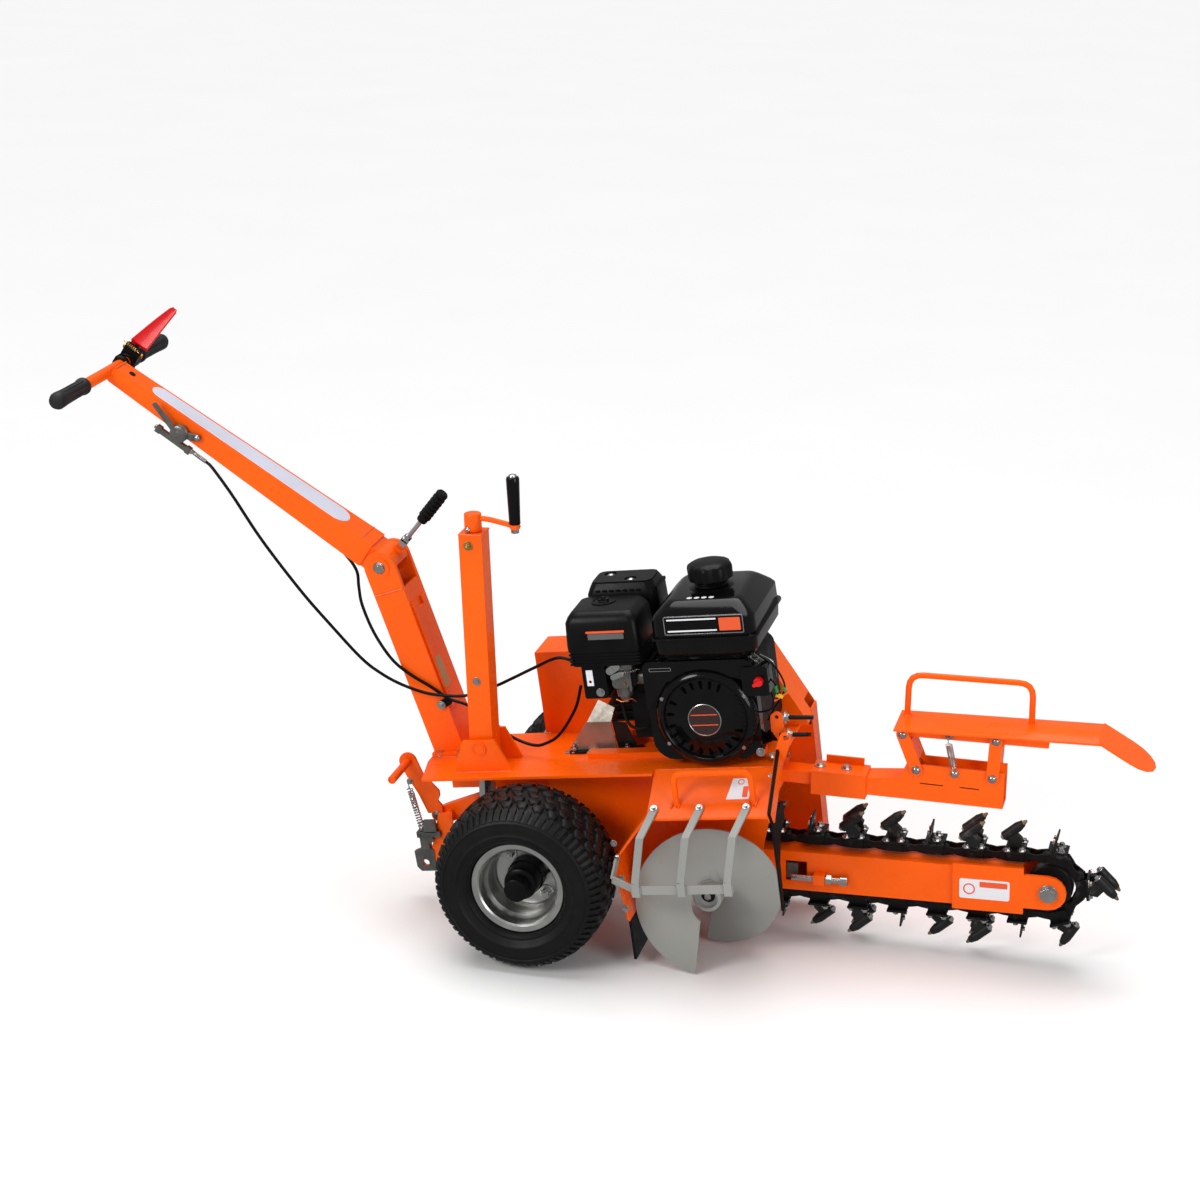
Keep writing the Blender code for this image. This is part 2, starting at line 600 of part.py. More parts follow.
def make_pedal(swing):
    x, _, z = PEDAL_PIVOT
    pivot = frame("pedal_axis", swing, (x - SWING_PIVOT[0], 0.0, z - SWING_PIVOT[2]))
    pivot["modelled_in_group"] = True
    top = (-0.2885, 0.1425)
    outline = arc(top, 0.0178, 190, 20, 6) + [
        (-0.2617, 0.1144), (-0.2456, 0.0944), (-0.2345, 0.0801), (-0.2345, 0.0700), (-0.2400, 0.0591),
        (-0.2330, 0.0500), (-0.2330, 0.0180), (-0.2570, 0.0180), (-0.2640, 0.0300), (-0.2780, 0.0756),
        (-0.2945, 0.1097),
    ]
    bore = across(x, z, -0.02, 0.0, 0.0053)
    arm = node("foot_pedal", ORANGE, chassis, [
        plate([outline], -0.0145, -0.0085),
        across(*top, -0.108, -0.0095, 0.008),
    ], [bore])
    arm.data.transform(Matrix.Translation((-x, 0.0, -z)))
    arm.parent = pivot
    node("pedal_spring", ZINC, chassis, [
        rod((-0.291, -0.021, 0.082), (-0.2805, -0.021, 0.012), 0.0055, 10),
        rod((-0.293, -0.021, 0.098), (-0.291, -0.021, 0.081), 0.0018, 6),
        rod((-0.2805, -0.021, 0.013), (-0.2785, -0.021, -0.004), 0.0018, 6),
    ])


# Jack --------------------------------------------------------------------------------------------

def make_jack():
    half = POST_HALF
    bore = half - SHEET
    node("jack_post", ORANGE, jack, [
        block((-half, -half, POST_LOW), (half, half, POST_TOP)),
        rod((0, -0.0365, 0), (0, -half + 0.001, 0), 0.008),
        rod((0, half - 0.001, 0), (0, 0.0365, 0), 0.008),
    ], [
        block((-bore, -bore, POST_LOW - 0.01), (bore, bore, POST_TOP - 0.006)),
        rod((0, 0, POST_TOP - 0.02), (0, 0, POST_TOP + 0.01), SCREW_RADIUS + 0.001),
    ])
    slide = frame("ram_axis", jack, (0, 0, 0))
    node("jack_ram", ZINC, slide, [
        rod((0, 0, RAM_FOOT + 0.006), (0, 0, 0.10), RAM_RADIUS),
        block((-0.022, -0.0148, RAM_FOOT), (0.022, 0.0148, RAM_FOOT + 0.008)),
    ], [rod((0, 0, -0.10), (0, 0, 0.11), SCREW_RADIUS + 0.0012)])
    crank = frame("crank_axis", jack, (0, 0, POST_TOP))
    head = POST_TOP + 0.0065
    node("jack_screw", ZINC, crank, [rod((0, 0, -0.08 - POST_TOP), (0, 0, head - GAP - POST_TOP), SCREW_RADIUS)])
    arm_high, arm_low = head + 0.017 - POST_TOP, head + 0.006 - POST_TOP
    node("crank_arm", ORANGE, crank, [
        rod((0, 0, head - POST_TOP), (0, 0, head + 0.028 - POST_TOP), 0.0165),
        rod((0, 0, arm_high), (CRANK_REACH, 0, arm_low), 0.0048, 10),
        rod((CRANK_REACH, 0, arm_low - 0.006), (CRANK_REACH, 0, arm_low + 0.006), 0.010),
        rod((CRANK_REACH, 0, arm_low), (CRANK_REACH, 0, arm_low + 0.106), 0.004, 10),
        rod((CRANK_REACH, 0, arm_low - 0.016), (CRANK_REACH, 0, arm_low - 0.005), 0.0085, 6),
    ])
    grip = frame("crank_grip_axis", crank, (CRANK_REACH, 0, arm_low))
    node("crank_grip", BLACK_PLASTIC, grip, [
        rod((0, 0, 0.0065), (0, 0, 0.101), 0.0105, 16, 0.0125),
    ], [rod((0, 0, 0.0), (0, 0, 0.12), 0.0044, 10)])


# Mast and handle ---------------------------------------------------------------------------------

def make_mast():
    cheek = arc((0, 0), 0.031, 180, 0, 10) + [(0.030, -0.075), (-0.030, -0.075)]
    tube_half = 0.0445
    flange = carried(block((-0.2195, -0.055, DECK_TOP + GAP), (-0.140, 0.055, DECK_TOP + 0.008)), chassis, mast)
    below = carried(block((-0.30, -0.10, 0.05), (-0.05, 0.10, DECK_TOP + GAP)), chassis, mast)
    node("mast", ORANGE, mast, [
        block((-0.030, -tube_half, -0.42), (0.030, tube_half, -0.050)),
        plate([cheek], -tube_half, -0.0345),
        plate([cheek], 0.0345, tube_half),
        flange,
    ], [
        block((-0.027, -0.0415, -0.45), (0.027, 0.0415, -0.060)),
        block((-0.05, -0.0342, -0.051), (0.05, 0.0342, 0.05)),
        across(0, 0, -0.06, 0.06, 0.0063),
        block((-0.024, -0.0342, -0.07), (0.024, 0.0342, -0.04)),
        below,
    ])
    node("fold_bolt", ZINC, mast, [
        across(0, 0, -0.0515, 0.0515, 0.006, 12),
        across(0, 0, -0.0515, -0.0448, 0.010, 6),
        across(0, 0, 0.0448, 0.0515, 0.010, 6),
    ])


def make_handle():
    fold = frame("handle_fold_axis", handle, (0, 0, 0))
    wall = SHEET
    node("handle_beam", ORANGE, fold, [
        taper(BEAM_HIGH_END, 0.0245, (BEAM_UNDER, 0.004), BEAM_LOW_END, 0.0365, (BEAM_UNDER, 0.024)),
        across(0, 0, -0.0340, 0.0340, 0.030, 24),
        block((-0.075, -0.0340, -0.0245), (-0.005, 0.0340, 0.021)),
        plate([link_outline((0.0, 0.010), LATCH_AT, 0.008)], -0.004, 0.004),
    ], [
        taper(BEAM_HIGH_END + wall, 0.0215, (BEAM_UNDER + wall, 0.0015), -0.080, 0.0330, (BEAM_UNDER + wall, 0.0195)),
        block((-0.10, -0.028, -0.0215), (0.035, 0.028, 0.0185)),
        across(0, 0, -0.05, 0.05, 0.0065),
        across(*LATCH_AT, -0.02, 0.02, 0.0033, 10),
    ])
    bx, bz = BAR_AT
    node("handle_bar", ORANGE, fold, [across(bx, bz, -0.225, 0.225, 0.011)])
    for side, sign in (("near", -1), ("far", 1)):
        outer, inner, cap = sign * 0.237, sign * 0.118, sign * 0.2255
        node("grip_" + side, RUBBER, fold, [across(bx, bz, *sorted((outer, inner)), 0.0165)],
             [across(bx, bz, *sorted((cap, inner - sign * 0.01)), 0.0113)])
    bore = across(bx, bz, 0.06, 0.12, 0.0113)
    cx, cy, cz = CLUTCH_PIVOT
    node("lever_bracket", BLACK_PLASTIC, fold, [
        across(bx, bz, 0.078, 0.100, 0.0175),
        block((-0.6425, 0.080, bz + 0.008), (-0.6375, 0.0915, cz + 0.006)),
    ], [bore])
    squeeze = frame("clutch_lever_axis", fold, CLUTCH_PIVOT)
    node("clutch_lever", RED, squeeze, [
        rod((-0.006, 0, 0), (0.0055, 0, 0), 0.009),
        strut((0.0, 0.0, 0.0), (0.010, 0.060, 0.030), 0.010, 0.014, FORWARD),
        strut((0.010, 0.060, 0.030), (0.0205, 0.117, 0.063), 0.0095, 0.009, FORWARD),
    ])
    tx, tz = THROTTLE_AT
    node("throttle_body", CAST_GREY, fold, [
        across(tx, tz, -0.042, -0.0295, 0.0175, 20),
        block((tx - 0.040, -0.041, -0.0415), (tx + 0.036, -0.0305, -0.0315)),
        rod((tx + 0.030, -0.036, -0.0365), (tx + 0.072, -0.0375, -0.0365), 0.0042, 10),
    ])
    turn = frame("throttle_lever_axis", fold, (tx, -0.0425, tz))
    node("throttle_lever", CAST_GREY, turn, [
        rod((0, 0.0, 0), (0, -0.005, 0), 0.010),
        strut((0, -0.00275, 0), (-0.0664, -0.00275, 0.0238), 0.004, 0.009),
    ])
    lx, lz = LATCH_AT
    latch = frame("lock_lever_axis", fold, (lx, 0, lz))
    fork = combine(block((-0.0075, -0.009, -0.004), (0.0075, 0.009, 0.017)),
                   block((-0.010, -0.0045, -0.010), (0.010, 0.0045, 0.0105)), "DIFFERENCE")
    node("lock_lever", ZINC, latch, [
        fork,
        rod((0.0012, 0, 0.0135), (0.0062, 0, 0.072), 0.0045, 12),
        rod((0.0056, 0, 0.064), (0.0114, 0, 0.138), 0.0125, 14),
        across(0, 0, -0.0088, 0.0088, 0.0029, 10),
    ])


# Boom --------------------------------------------------------------------------------------------

def make_boom():
    half, room = 0.036, 0.031
    slot = 0.0455
    cheek = [(0.43, -slot), (0.56, -slot), (0.56, -0.033)] + arc((NOSE, 0), 0.033, -90, 90, 8)
    cheek += [(0.56, 0.033), (0.56, slot), (0.43, slot)]
    node("boom_bar", ORANGE, boom, [
        block((0.052, -half, -0.039), (0.5555, half, 0.039)),
        plate([cheek], -0.042, -0.0345),
        plate([cheek], 0.0345, 0.042),
        across(0.072, 0.0, -0.0895, 0.0895, 0.018),
    ], [
        block((0.09, -room, -0.034), (0.57, room, 0.034)),
        block((0.117, -0.05, -0.020), (0.157, -0.02, 0.020)),
        across(NOSE, 0.0, -0.06, 0.06, 0.0104),
    ])
    node("tension_bolt", ZINC, boom, [
        rod((0.130, -0.0465, -0.008), (0.235, -0.0465, -0.008), 0.006, 10),
        rod((0.222, -0.0465, -0.008), (0.236, -0.0465, -0.008), 0.0095, 12),
        rod((0.196, -0.0465, -0.008), (0.206, -0.0465, -0.008), 0.0095, 6),
    ])
    node("nose_bolt", ZINC, boom, [
        across(NOSE, 0.0, -0.053, 0.050, 0.010, 16),
        across(NOSE, 0.0, -0.053, -0.0425, 0.0165, 6),
        across(NOSE, 0.0, 0.0425, 0.050, 0.0165, 6),
    ])


def chain_place(distance):
    """(place, travel, outward) on the chain's pitch line, from over the head shaft towards the nose."""
    run, turn = NOSE, pi * CHAIN_RADIUS
    distance %= 2 * (run + turn)
    if distance < run:
        return (distance, CHAIN_RADIUS), (1, 0), (0, 1)
    if distance < run + turn:
        angle = (distance - run) / CHAIN_RADIUS
        outward = (sin(angle), cos(angle))
        place = (NOSE + CHAIN_RADIUS * outward[0], CHAIN_RADIUS * outward[1])
        return place, (cos(angle), -sin(angle)), outward
    if distance < 2 * run + turn:
        return (NOSE - (distance - run - turn), -CHAIN_RADIUS), (-1, 0), (0, -1)
    angle = (distance - 2 * run - turn) / CHAIN_RADIUS
    outward = (-sin(angle), -cos(angle))
    return (CHAIN_RADIUS * outward[0], CHAIN_RADIUS * outward[1]), (-cos(angle), sin(angle)), outward


def stadium(radius):
    return arc((NOSE, 0), radius, -90, 90, 12) + arc((0, 0), radius, 90, 270, 12)


def make_chain():
    """A closed band for the links, with a pick or a scraper on every second link."""
    ring = [stadium(CHAIN_RADIUS + CHAIN_HALF_HEIGHT), stadium(CHAIN_RADIUS - CHAIN_HALF_HEIGHT)]
    shapes = [plate(ring, -CHAIN_HALF_WIDTH, CHAIN_HALF_WIDTH)]
    spacing = 2 * (NOSE + pi * CHAIN_RADIUS) / ATTACHMENTS
    for i in range(ATTACHMENTS):
        place, travel, outward = chain_place(0.020 + i * spacing)

        def at(along, y, out):
            return (place[0] + travel[0] * along + outward[0] * out, y,
                    place[1] + travel[1] * along + outward[1] * out)

        shapes.append(strut(at(-0.019, 0, 0.013), at(0.019, 0, 0.013), 0.060, 0.006))
        if i % 3 == 0:
            shapes.append(strut(at(-0.012, 0, 0.013), at(-0.006, 0, 0.046), 0.036, 0.004))
        else:
            side = 0.020 if i % 3 == 1 else -0.020
            shapes.append(strut(at(-0.002, side, 0.012), at(-0.006, side, 0.040), 0.010, 0.014))
            shapes.append(rod(at(-0.024, side, 0.036), at(0.020, side, 0.066), 0.0085, 8, 0.005))
    node("digging_chain", CHAIN_STEEL, boom, shapes)


def star(radius, root, teeth):
    """A sprocket's outline: a flat-topped tooth and a gap for each link."""
    points = []
    for i in range(teeth):
        for turn, reach in ((-0.30, root), (-0.16, radius), (0.16, radius), (0.30, root)):
            angle = 2 * pi * (i + turn) / teeth
            points.append((reach * cos(angle), reach * sin(angle)))
    return points


def make_head():
    spin = frame("head_axis", boom, (0, 0, 0))
    node("head_shaft", ZINC, spin, [across(0, 0, -0.240, 0.140, AXLE_RADIUS, 20)])
    bore = (-0.3, 0.3, SHAFT_BORE, 20)
    node("drive_sprocket", CASTING, spin, [plate([star(0.0425, 0.034, 9)], -0.008, 0.008),
                                           across(0, 0, -0.020, 0.020, 0.022, 20)], [across(0, 0, *bore)])
    node("driven_pulley", CAST_GREY, spin, [
        turned([(0.010, 0.112), (0.080, 0.112), (0.074, 0.118), (0.074, 0.126), (0.080, 0.132), (0.010, 0.132)], 28),
    ], [across(0, 0, *bore)])
    make_auger(spin, bore)
    nose = frame("nose_axis", boom, (NOSE, 0, 0))
    node("tip_idler", CASTING, nose, [across(0, 0, -0.012, 0.012, 0.0425, 28), across(0, 0, -0.030, 0.030, 0.020)],
         [across(0, 0, -0.05, 0.05, 0.0104)])


def make_auger(spin, bore):
    """A flight of just over one turn welded on a tube, its near edge at the bottom."""
    steps, inner, thick = 21, 0.020, 0.004
    pitch = AUGER_FAR - AUGER_NEAR - 0.012 - thick
    work = bmesh.new()
    rings = []
    for i in range(steps + 1):
        angle = -pi / 2 - radians(372) * i / steps
        y = AUGER_NEAR + 0.006 + pitch * i / steps
        corners = [(inner, y), (AUGER_RADIUS, y), (AUGER_RADIUS, y + thick), (inner, y + thick)]
        rings.append([work.verts.new((r * cos(angle), level, r * sin(angle))) for r, level in corners])
    for a, b in zip(rings, rings[1:]):
        for j in range(4):
            work.faces.new((a[j], a[(j + 1) % 4], b[(j + 1) % 4], b[j]))
    work.faces.new(rings[0])
    work.faces.new(rings[-1])
    bmesh.ops.recalc_face_normals(work, faces=work.faces)
    bmesh.ops.triangulate(work, faces=work.faces)
    node("auger", GREY_PAINT, spin, [across(0, 0, AUGER_NEAR, AUGER_FAR, 0.027, 20), from_bmesh(work)],
         [across(0, 0, *bore)])


# Skid guard --------------------------------------------------------------------------------------

def make_skid_guard():
    flange = carried(block((0.4413, -0.045, 0.082), (0.4495, 0.045, 0.155)), chassis, machine)
    side = [(0.580, 0.305), (0.842, 0.305), (0.842, 0.376), (0.666, 0.376), (0.652, 0.345), (0.580, 0.3375)]
    pin_bores = [across(*place, -0.04, 0.04, LINK_PIN + 0.0006, 10) for place in (LINK_FRONT_LOW, LINK_REAR_LOW)]
    node("skid_arm", ORANGE, machine, [
        block((0.4262, -0.020, 0.312), (0.586, 0.020, 0.336)),
        block((0.488, -0.027, 0.296), (0.590, 0.027, 0.3425)),
        block((0.507, 0.022, 0.330), (0.578, 0.0265, 0.356)),
        plate([side], -0.024, 0.024),
        flange,
    ], [block((0.670, -0.020, 0.309), (0.85, 0.020, 0.40)), *pin_bores])

    top_pin = [across(*LINK_FRONT_HIGH, -0.04, 0.04, LINK_PIN + 0.0006, 10)]
    link = hinge("skid_link_front_axis", machine, (LINK_FRONT_LOW[0], 0, LINK_FRONT_LOW[1]))
    tie = ((LINK_FRONT_LOW[0] + LINK_FRONT_HIGH[0]) / 2, (LINK_FRONT_LOW[1] + LINK_FRONT_HIGH[1]) / 2)
    outline = link_outline(LINK_FRONT_LOW, LINK_FRONT_HIGH, 0.0115)
    node("skid_link_front", ORANGE, link, [
        plate([outline], -0.0285, -0.0245),
        plate([outline], 0.0245, 0.0285),
        across(*tie, -0.0265, 0.0265, 0.004, 10),
        across(*LINK_FRONT_LOW, -0.032, 0.032, LINK_PIN, 10),
        across(*LINK_FRONT_HIGH, -0.032, 0.032, LINK_PIN, 10),
    ])
    link = hinge("skid_link_rear_axis", machine, (LINK_REAR_LOW[0], 0, LINK_REAR_LOW[1]))
    tie = ((LINK_REAR_LOW[0] + LINK_REAR_HIGH[0]) / 2, (LINK_REAR_LOW[1] + LINK_REAR_HIGH[1]) / 2)
    outline = link_outline(LINK_REAR_LOW, LINK_REAR_HIGH, 0.0115)
    node("skid_link_rear", ORANGE, link, [
        plate([outline], -0.0285, -0.0245),
        plate([outline], 0.0245, 0.0285),
        across(*tie, -0.0265, 0.0265, 0.004, 10),
        across(*LINK_REAR_LOW, -0.032, 0.032, LINK_PIN, 10),
    ])
    skid = hinge("skid_plate_axis", machine, (LINK_FRONT_HIGH[0], 0, LINK_FRONT_HIGH[1]))
    channel = [(0.644, 0.426), (0.918, 0.430), (0.918, 0.4575), (0.644, 0.449)]
    room = [(0.63, 0.415), (0.93, 0.415), (0.93, 0.4533), (0.63, 0.4448)]
    hoop = [(0.654, 0.025, 0.449), (0.655, 0.025, 0.5310), (0.880, 0.025, 0.5355), (0.881, 0.025, 0.456)]
    toe_end = (1.013, 0.462)
    toe = plate([[(-0.004, -0.05), (0.060, -0.05)] + arc((0.060, 0), 0.05, -90, 90, 8)[1:-1]
                 + [(0.060, 0.05), (-0.004, 0.05)]], -0.004, 0.0, "Z")
    toe.data.transform(Matrix.Translation((toe_end[0], 0, toe_end[1])) @ Matrix.Rotation(radians(29.5), 4, "Y"))
    node("skid_plate", ORANGE, skid, [
        plate([[(0.640, 0.450), toe_end, (toe_end[0], toe_end[1] - 0.004), (0.640, 0.446)]], -0.05, 0.05),
        plate([channel], -0.018, 0.018),
        tube(rounded(hoop, 0.026), 0.006),
        toe,
    ], [plate([room], -0.014, 0.014), *top_pin])
    node("skid_spring", ZINC, machine, [rod((0.7395, 0, 0.432), (0.7525, 0, 0.372), 0.007, 12)])


def make_cables():
    node("throttle_cable", BLACK_PLASTIC, machine, [tube(smooth_path(THROTTLE_ROUTE, CABLE_STEP), CABLE_RADIUS)])
    node("clutch_cable", BLACK_PLASTIC, machine, [tube(smooth_path(CLUTCH_ROUTE, CABLE_STEP), CABLE_RADIUS)])


make_deck()
make_undercarriage()
make_drive_guard()
make_auger_guard()
make_auger_cage()
make_curtains()
make_engine()
make_belt_drive()
swing_frame = hinge("swing_axis", chassis, SWING_PIVOT)
make_swing_frame(swing_frame)
for wheel_side, wheel_y, wheel_flip in (("near", -HALF_TRACK, False), ("far", HALF_TRACK, True)):
    make_wheel(wheel_side, wheel_y, wheel_flip, swing_frame)
make_pedal(swing_frame)
make_jack()
make_mast()
make_handle()
make_boom()
make_chain()
make_head()
make_skid_guard()
make_cables()
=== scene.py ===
"""Looks of the walk-behind chain trencher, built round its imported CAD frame.

Every piece is modelled in the frame of the group that it belongs to: the chassis, which is tilted nose-up,
the boom, the jack, the mast, the folding handle, or the machine itself, level with the ground. The groups'
places come from the joints. Sizes are metres.
"""

import json
from math import atan2, cos, degrees, pi, radians, sin

import bmesh
import bpy
from mathutils import Matrix, Vector
from mathutils.geometry import tessellate_polygon


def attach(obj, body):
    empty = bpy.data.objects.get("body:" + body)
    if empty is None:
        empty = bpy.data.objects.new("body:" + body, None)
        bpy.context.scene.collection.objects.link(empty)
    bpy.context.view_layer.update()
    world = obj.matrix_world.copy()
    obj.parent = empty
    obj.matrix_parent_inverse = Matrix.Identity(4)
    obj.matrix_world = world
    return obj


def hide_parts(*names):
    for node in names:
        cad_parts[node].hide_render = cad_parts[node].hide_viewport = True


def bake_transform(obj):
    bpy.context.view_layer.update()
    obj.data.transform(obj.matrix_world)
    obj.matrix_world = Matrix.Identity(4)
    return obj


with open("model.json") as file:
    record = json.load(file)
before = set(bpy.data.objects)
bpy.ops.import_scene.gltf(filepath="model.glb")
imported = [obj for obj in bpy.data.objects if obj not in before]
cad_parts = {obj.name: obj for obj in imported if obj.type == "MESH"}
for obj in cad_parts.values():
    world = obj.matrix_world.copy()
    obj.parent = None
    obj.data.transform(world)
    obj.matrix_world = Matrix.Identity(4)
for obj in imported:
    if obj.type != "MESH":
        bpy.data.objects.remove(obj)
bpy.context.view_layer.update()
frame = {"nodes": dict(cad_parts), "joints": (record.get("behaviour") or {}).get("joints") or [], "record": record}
JOINTS = {joint["name"]: joint for joint in frame["joints"]}
BODIES = frame["record"]["behaviour"]["bodies"]
NODE_BODY = {node: body for body, nodes in BODIES.items() for node in nodes}
SLOTS = {entry["node"]: entry["material_slot"] for entry in frame["record"]["subparts"]}


# Frames of the groups ----------------------------------------------------------------------------

def joint_at(name):
    return Vector(JOINTS[name]["pos_m"])


def group_frame(origin, up=None, ahead=None):
    """A frame whose Y is the machine's Y, from the direction of its Z or of its X."""
    across = Vector((0.0, 1.0, 0.0))
    up = Vector(up).normalized() if up else Vector(ahead).normalized().cross(across)
    ahead = across.cross(up)
    turn = Matrix((ahead, across, up)).transposed().to_4x4()
    return Matrix.Translation((origin[0], 0.0, origin[2])) @ turn


AXLE = joint_at("wheel_near_spin")
HEAD_AT = joint_at("head_shaft_spin")
NOSE_AT = joint_at("tip_idler_spin")
FOLD_AT = joint_at("handle_fold")
CRANK_UP = Vector(JOINTS["jack_crank"]["axis"])
POST_TOP = 0.415
MAST_TILT = radians(20.2)

LEVEL = Matrix.Translation((AXLE.x, 0.0, 0.0))
CHASSIS = group_frame(AXLE, up=JOINTS["fuel_cap_turn"]["axis"])
BOOM = group_frame(HEAD_AT, ahead=NOSE_AT - HEAD_AT)
JACK = Matrix.Translation((0.0, joint_at("jack_crank").y, 0.0)) @ group_frame(
    joint_at("jack_crank") - CRANK_UP * POST_TOP, up=CRANK_UP)
HANDLE = group_frame(FOLD_AT, ahead=-Vector(JOINTS["clutch_lever_squeeze"]["axis"]))
MAST = group_frame(FOLD_AT, up=(-sin(MAST_TILT), 0.0, cos(MAST_TILT)))


def wheel_frame(side):
    return Matrix.Translation(joint_at(f"wheel_{side}_spin"))


# Materials ---------------------------------------------------------------------------------------

def socket(shader, name, value):
    if name in shader.inputs:
        shader.inputs[name].default_value = value


class Look:
    """A procedural material on one Principled shader, in the object's own coordinates."""

    def __init__(self, name, roughness, metallic=0.0, coat=0.0, specular=0.5):
        self.material = bpy.data.materials.new(name)
        self.material.use_nodes = True
        self.tree = self.material.node_tree
        self.shader = self.tree.nodes["Principled BSDF"]
        socket(self.shader, "Metallic", metallic)
        socket(self.shader, "Coat Weight", coat)
        socket(self.shader, "Coat Roughness", 0.08)
        socket(self.shader, "Specular IOR Level", specular)
        socket(self.shader, "Roughness", roughness)
        self.place = self.tree.nodes.new("ShaderNodeTexCoord").outputs["Object"]

    def node(self, kind, **settings):
        made = self.tree.nodes.new(kind)
        for key, value in settings.items():
            setattr(made, key, value)
        return made

    def noise(self, scale, detail=4.0, stretch=None):
        texture = self.node("ShaderNodeTexNoise")
        texture.inputs["Scale"].default_value = scale
        texture.inputs["Detail"].default_value = detail
        source = self.place
        if stretch:
            mapping = self.node("ShaderNodeMapping")
            mapping.inputs["Scale"].default_value = stretch
            self.tree.links.new(source, mapping.inputs["Vector"])
            source = mapping.outputs["Vector"]
        self.tree.links.new(source, texture.inputs["Vector"])
        return texture.outputs["Fac"]

    def ramp(self, factor, stops):
        """A colour ramp from (position, colour) stops."""
        ramp = self.node("ShaderNodeValToRGB")
        elements = ramp.color_ramp.elements
        while len(elements) < len(stops):
            elements.new(0.5)
        for element, (position, colour) in zip(elements, stops):
            element.position = position
            element.color = (*colour, 1.0)
        self.tree.links.new(factor, ramp.inputs["Fac"])
        return ramp.outputs["Color"]

    def mix(self, factor, first, second, blend="MIX"):
        mixer = self.node("ShaderNodeMix", data_type="RGBA", blend_type=blend)
        for socket_in, value in ((mixer.inputs[0], factor), (mixer.inputs[6], first),
                                 (mixer.inputs[7], second)):
            if isinstance(value, (int, float)):
                socket_in.default_value = value
            elif isinstance(value, tuple):
                socket_in.default_value = (*value, 1.0)
            else:
                self.tree.links.new(value, socket_in)
        return mixer.outputs[2]

    def spread(self, factor, low, high):
        """The factor's middle range stretched to low and high."""
        mapped = self.node("ShaderNodeMapRange")
        mapped.inputs["From Min"].default_value = 0.3
        mapped.inputs["From Max"].default_value = 0.7
        mapped.inputs["To Min"].default_value = low
        mapped.inputs["To Max"].default_value = high
        self.tree.links.new(factor, mapped.inputs["Value"])
        return mapped.outputs["Result"]

    def colour(self, output):
        self.tree.links.new(output, self.shader.inputs["Base Color"])

    def rough(self, output):
        self.tree.links.new(output, self.shader.inputs["Roughness"])

    def bump(self, height, strength, distance):
        bump = self.node("ShaderNodeBump")
        bump.inputs["Strength"].default_value = strength
        bump.inputs["Distance"].default_value = distance
        self.tree.links.new(height, bump.inputs["Height"])
        self.tree.links.new(bump.outputs["Normal"], self.shader.inputs["Normal"])


def shade(colour, factor):
    return tuple(min(1.0, channel * factor) for channel in colour)


def painted(name, colour, roughness=0.3, coat=0.35, peel=0.25, dust=(0.45, 0.42, 0.38), dusty=0.05,
            specular=0.5):
    """Powder coat or enamel: orange peel, faint blotches and a thin film of dust."""
    look = Look(name, roughness, coat=coat, specular=specular)
    blotches = look.ramp(look.noise(6.0), [(0.3, shade(colour, 0.9)), (0.55, colour),
                                           (0.8, shade(colour, 1.06))])
    film = look.spread(look.noise(23.0, 6.0), 0.0, dusty)
    look.colour(look.mix(film, blotches, dust))
    look.rough(look.spread(look.noise(40.0), roughness * 0.8, roughness * 1.25))
    look.bump(look.noise(900.0, 2.0), peel, 0.0003)
    return look.material


def bare_metal(name, colour, roughness=0.28, brushed=None, tint=None, grain=0.18):
    """Zinc, steel or aluminium, with fine streaks or grain and slightly tinted patches."""
    look = Look(name, roughness, metallic=1.0)
    patches = look.ramp(look.noise(30.0), [(0.3, shade(colour, 0.82)), (0.7, tint or shade(colour, 1.08))])
    look.colour(patches)
    look.rough(look.spread(look.noise(120.0), roughness * 0.85, roughness * 1.2))
    look.bump(look.noise(700.0, 3.0, brushed), grain, 0.0003)
    return look.material


def moulded(name, colour, roughness=0.5, grain=1400.0, depth=0.25, specular=0.5):
    """Moulded plastic or rubber with a fine grain and greyer, drier patches."""
    look = Look(name, roughness, specular=specular)
    look.colour(look.ramp(look.noise(35.0), [(0.3, shade(colour, 0.8)), (0.75, shade(colour, 1.35))]))
    look.rough(look.spread(look.noise(60.0), roughness * 0.88, roughness * 1.12))
    look.bump(look.noise(grain, 2.0), depth, 0.0004)
    return look.material


def cast(name, colour, metallic=0.0, roughness=0.55, specular=0.5):
    """A sand or die casting with its pebbled skin."""
    look = Look(name, roughness, metallic=metallic, specular=specular)
    look.colour(look.ramp(look.noise(45.0), [(0.3, shade(colour, 0.75)), (0.7, shade(colour, 1.2))]))
    look.rough(look.spread(look.noise(90.0), roughness * 0.8, roughness * 1.2))
    look.bump(look.noise(420.0, 4.0), 0.45, 0.0006)
    return look.material


def worn_steel(name, paint, steel):
    """Black paint rubbed through to steel in places."""
    look = Look(name, 0.45, metallic=0.45)
    rubbed = look.ramp(look.noise(55.0, 6.0), [(0.58, paint), (0.74, steel)])
    look.colour(rubbed)
    look.rough(look.spread(look.noise(80.0), 0.35, 0.6))
    look.bump(look.noise(500.0, 4.0), 0.4, 0.0005)
    return look.material


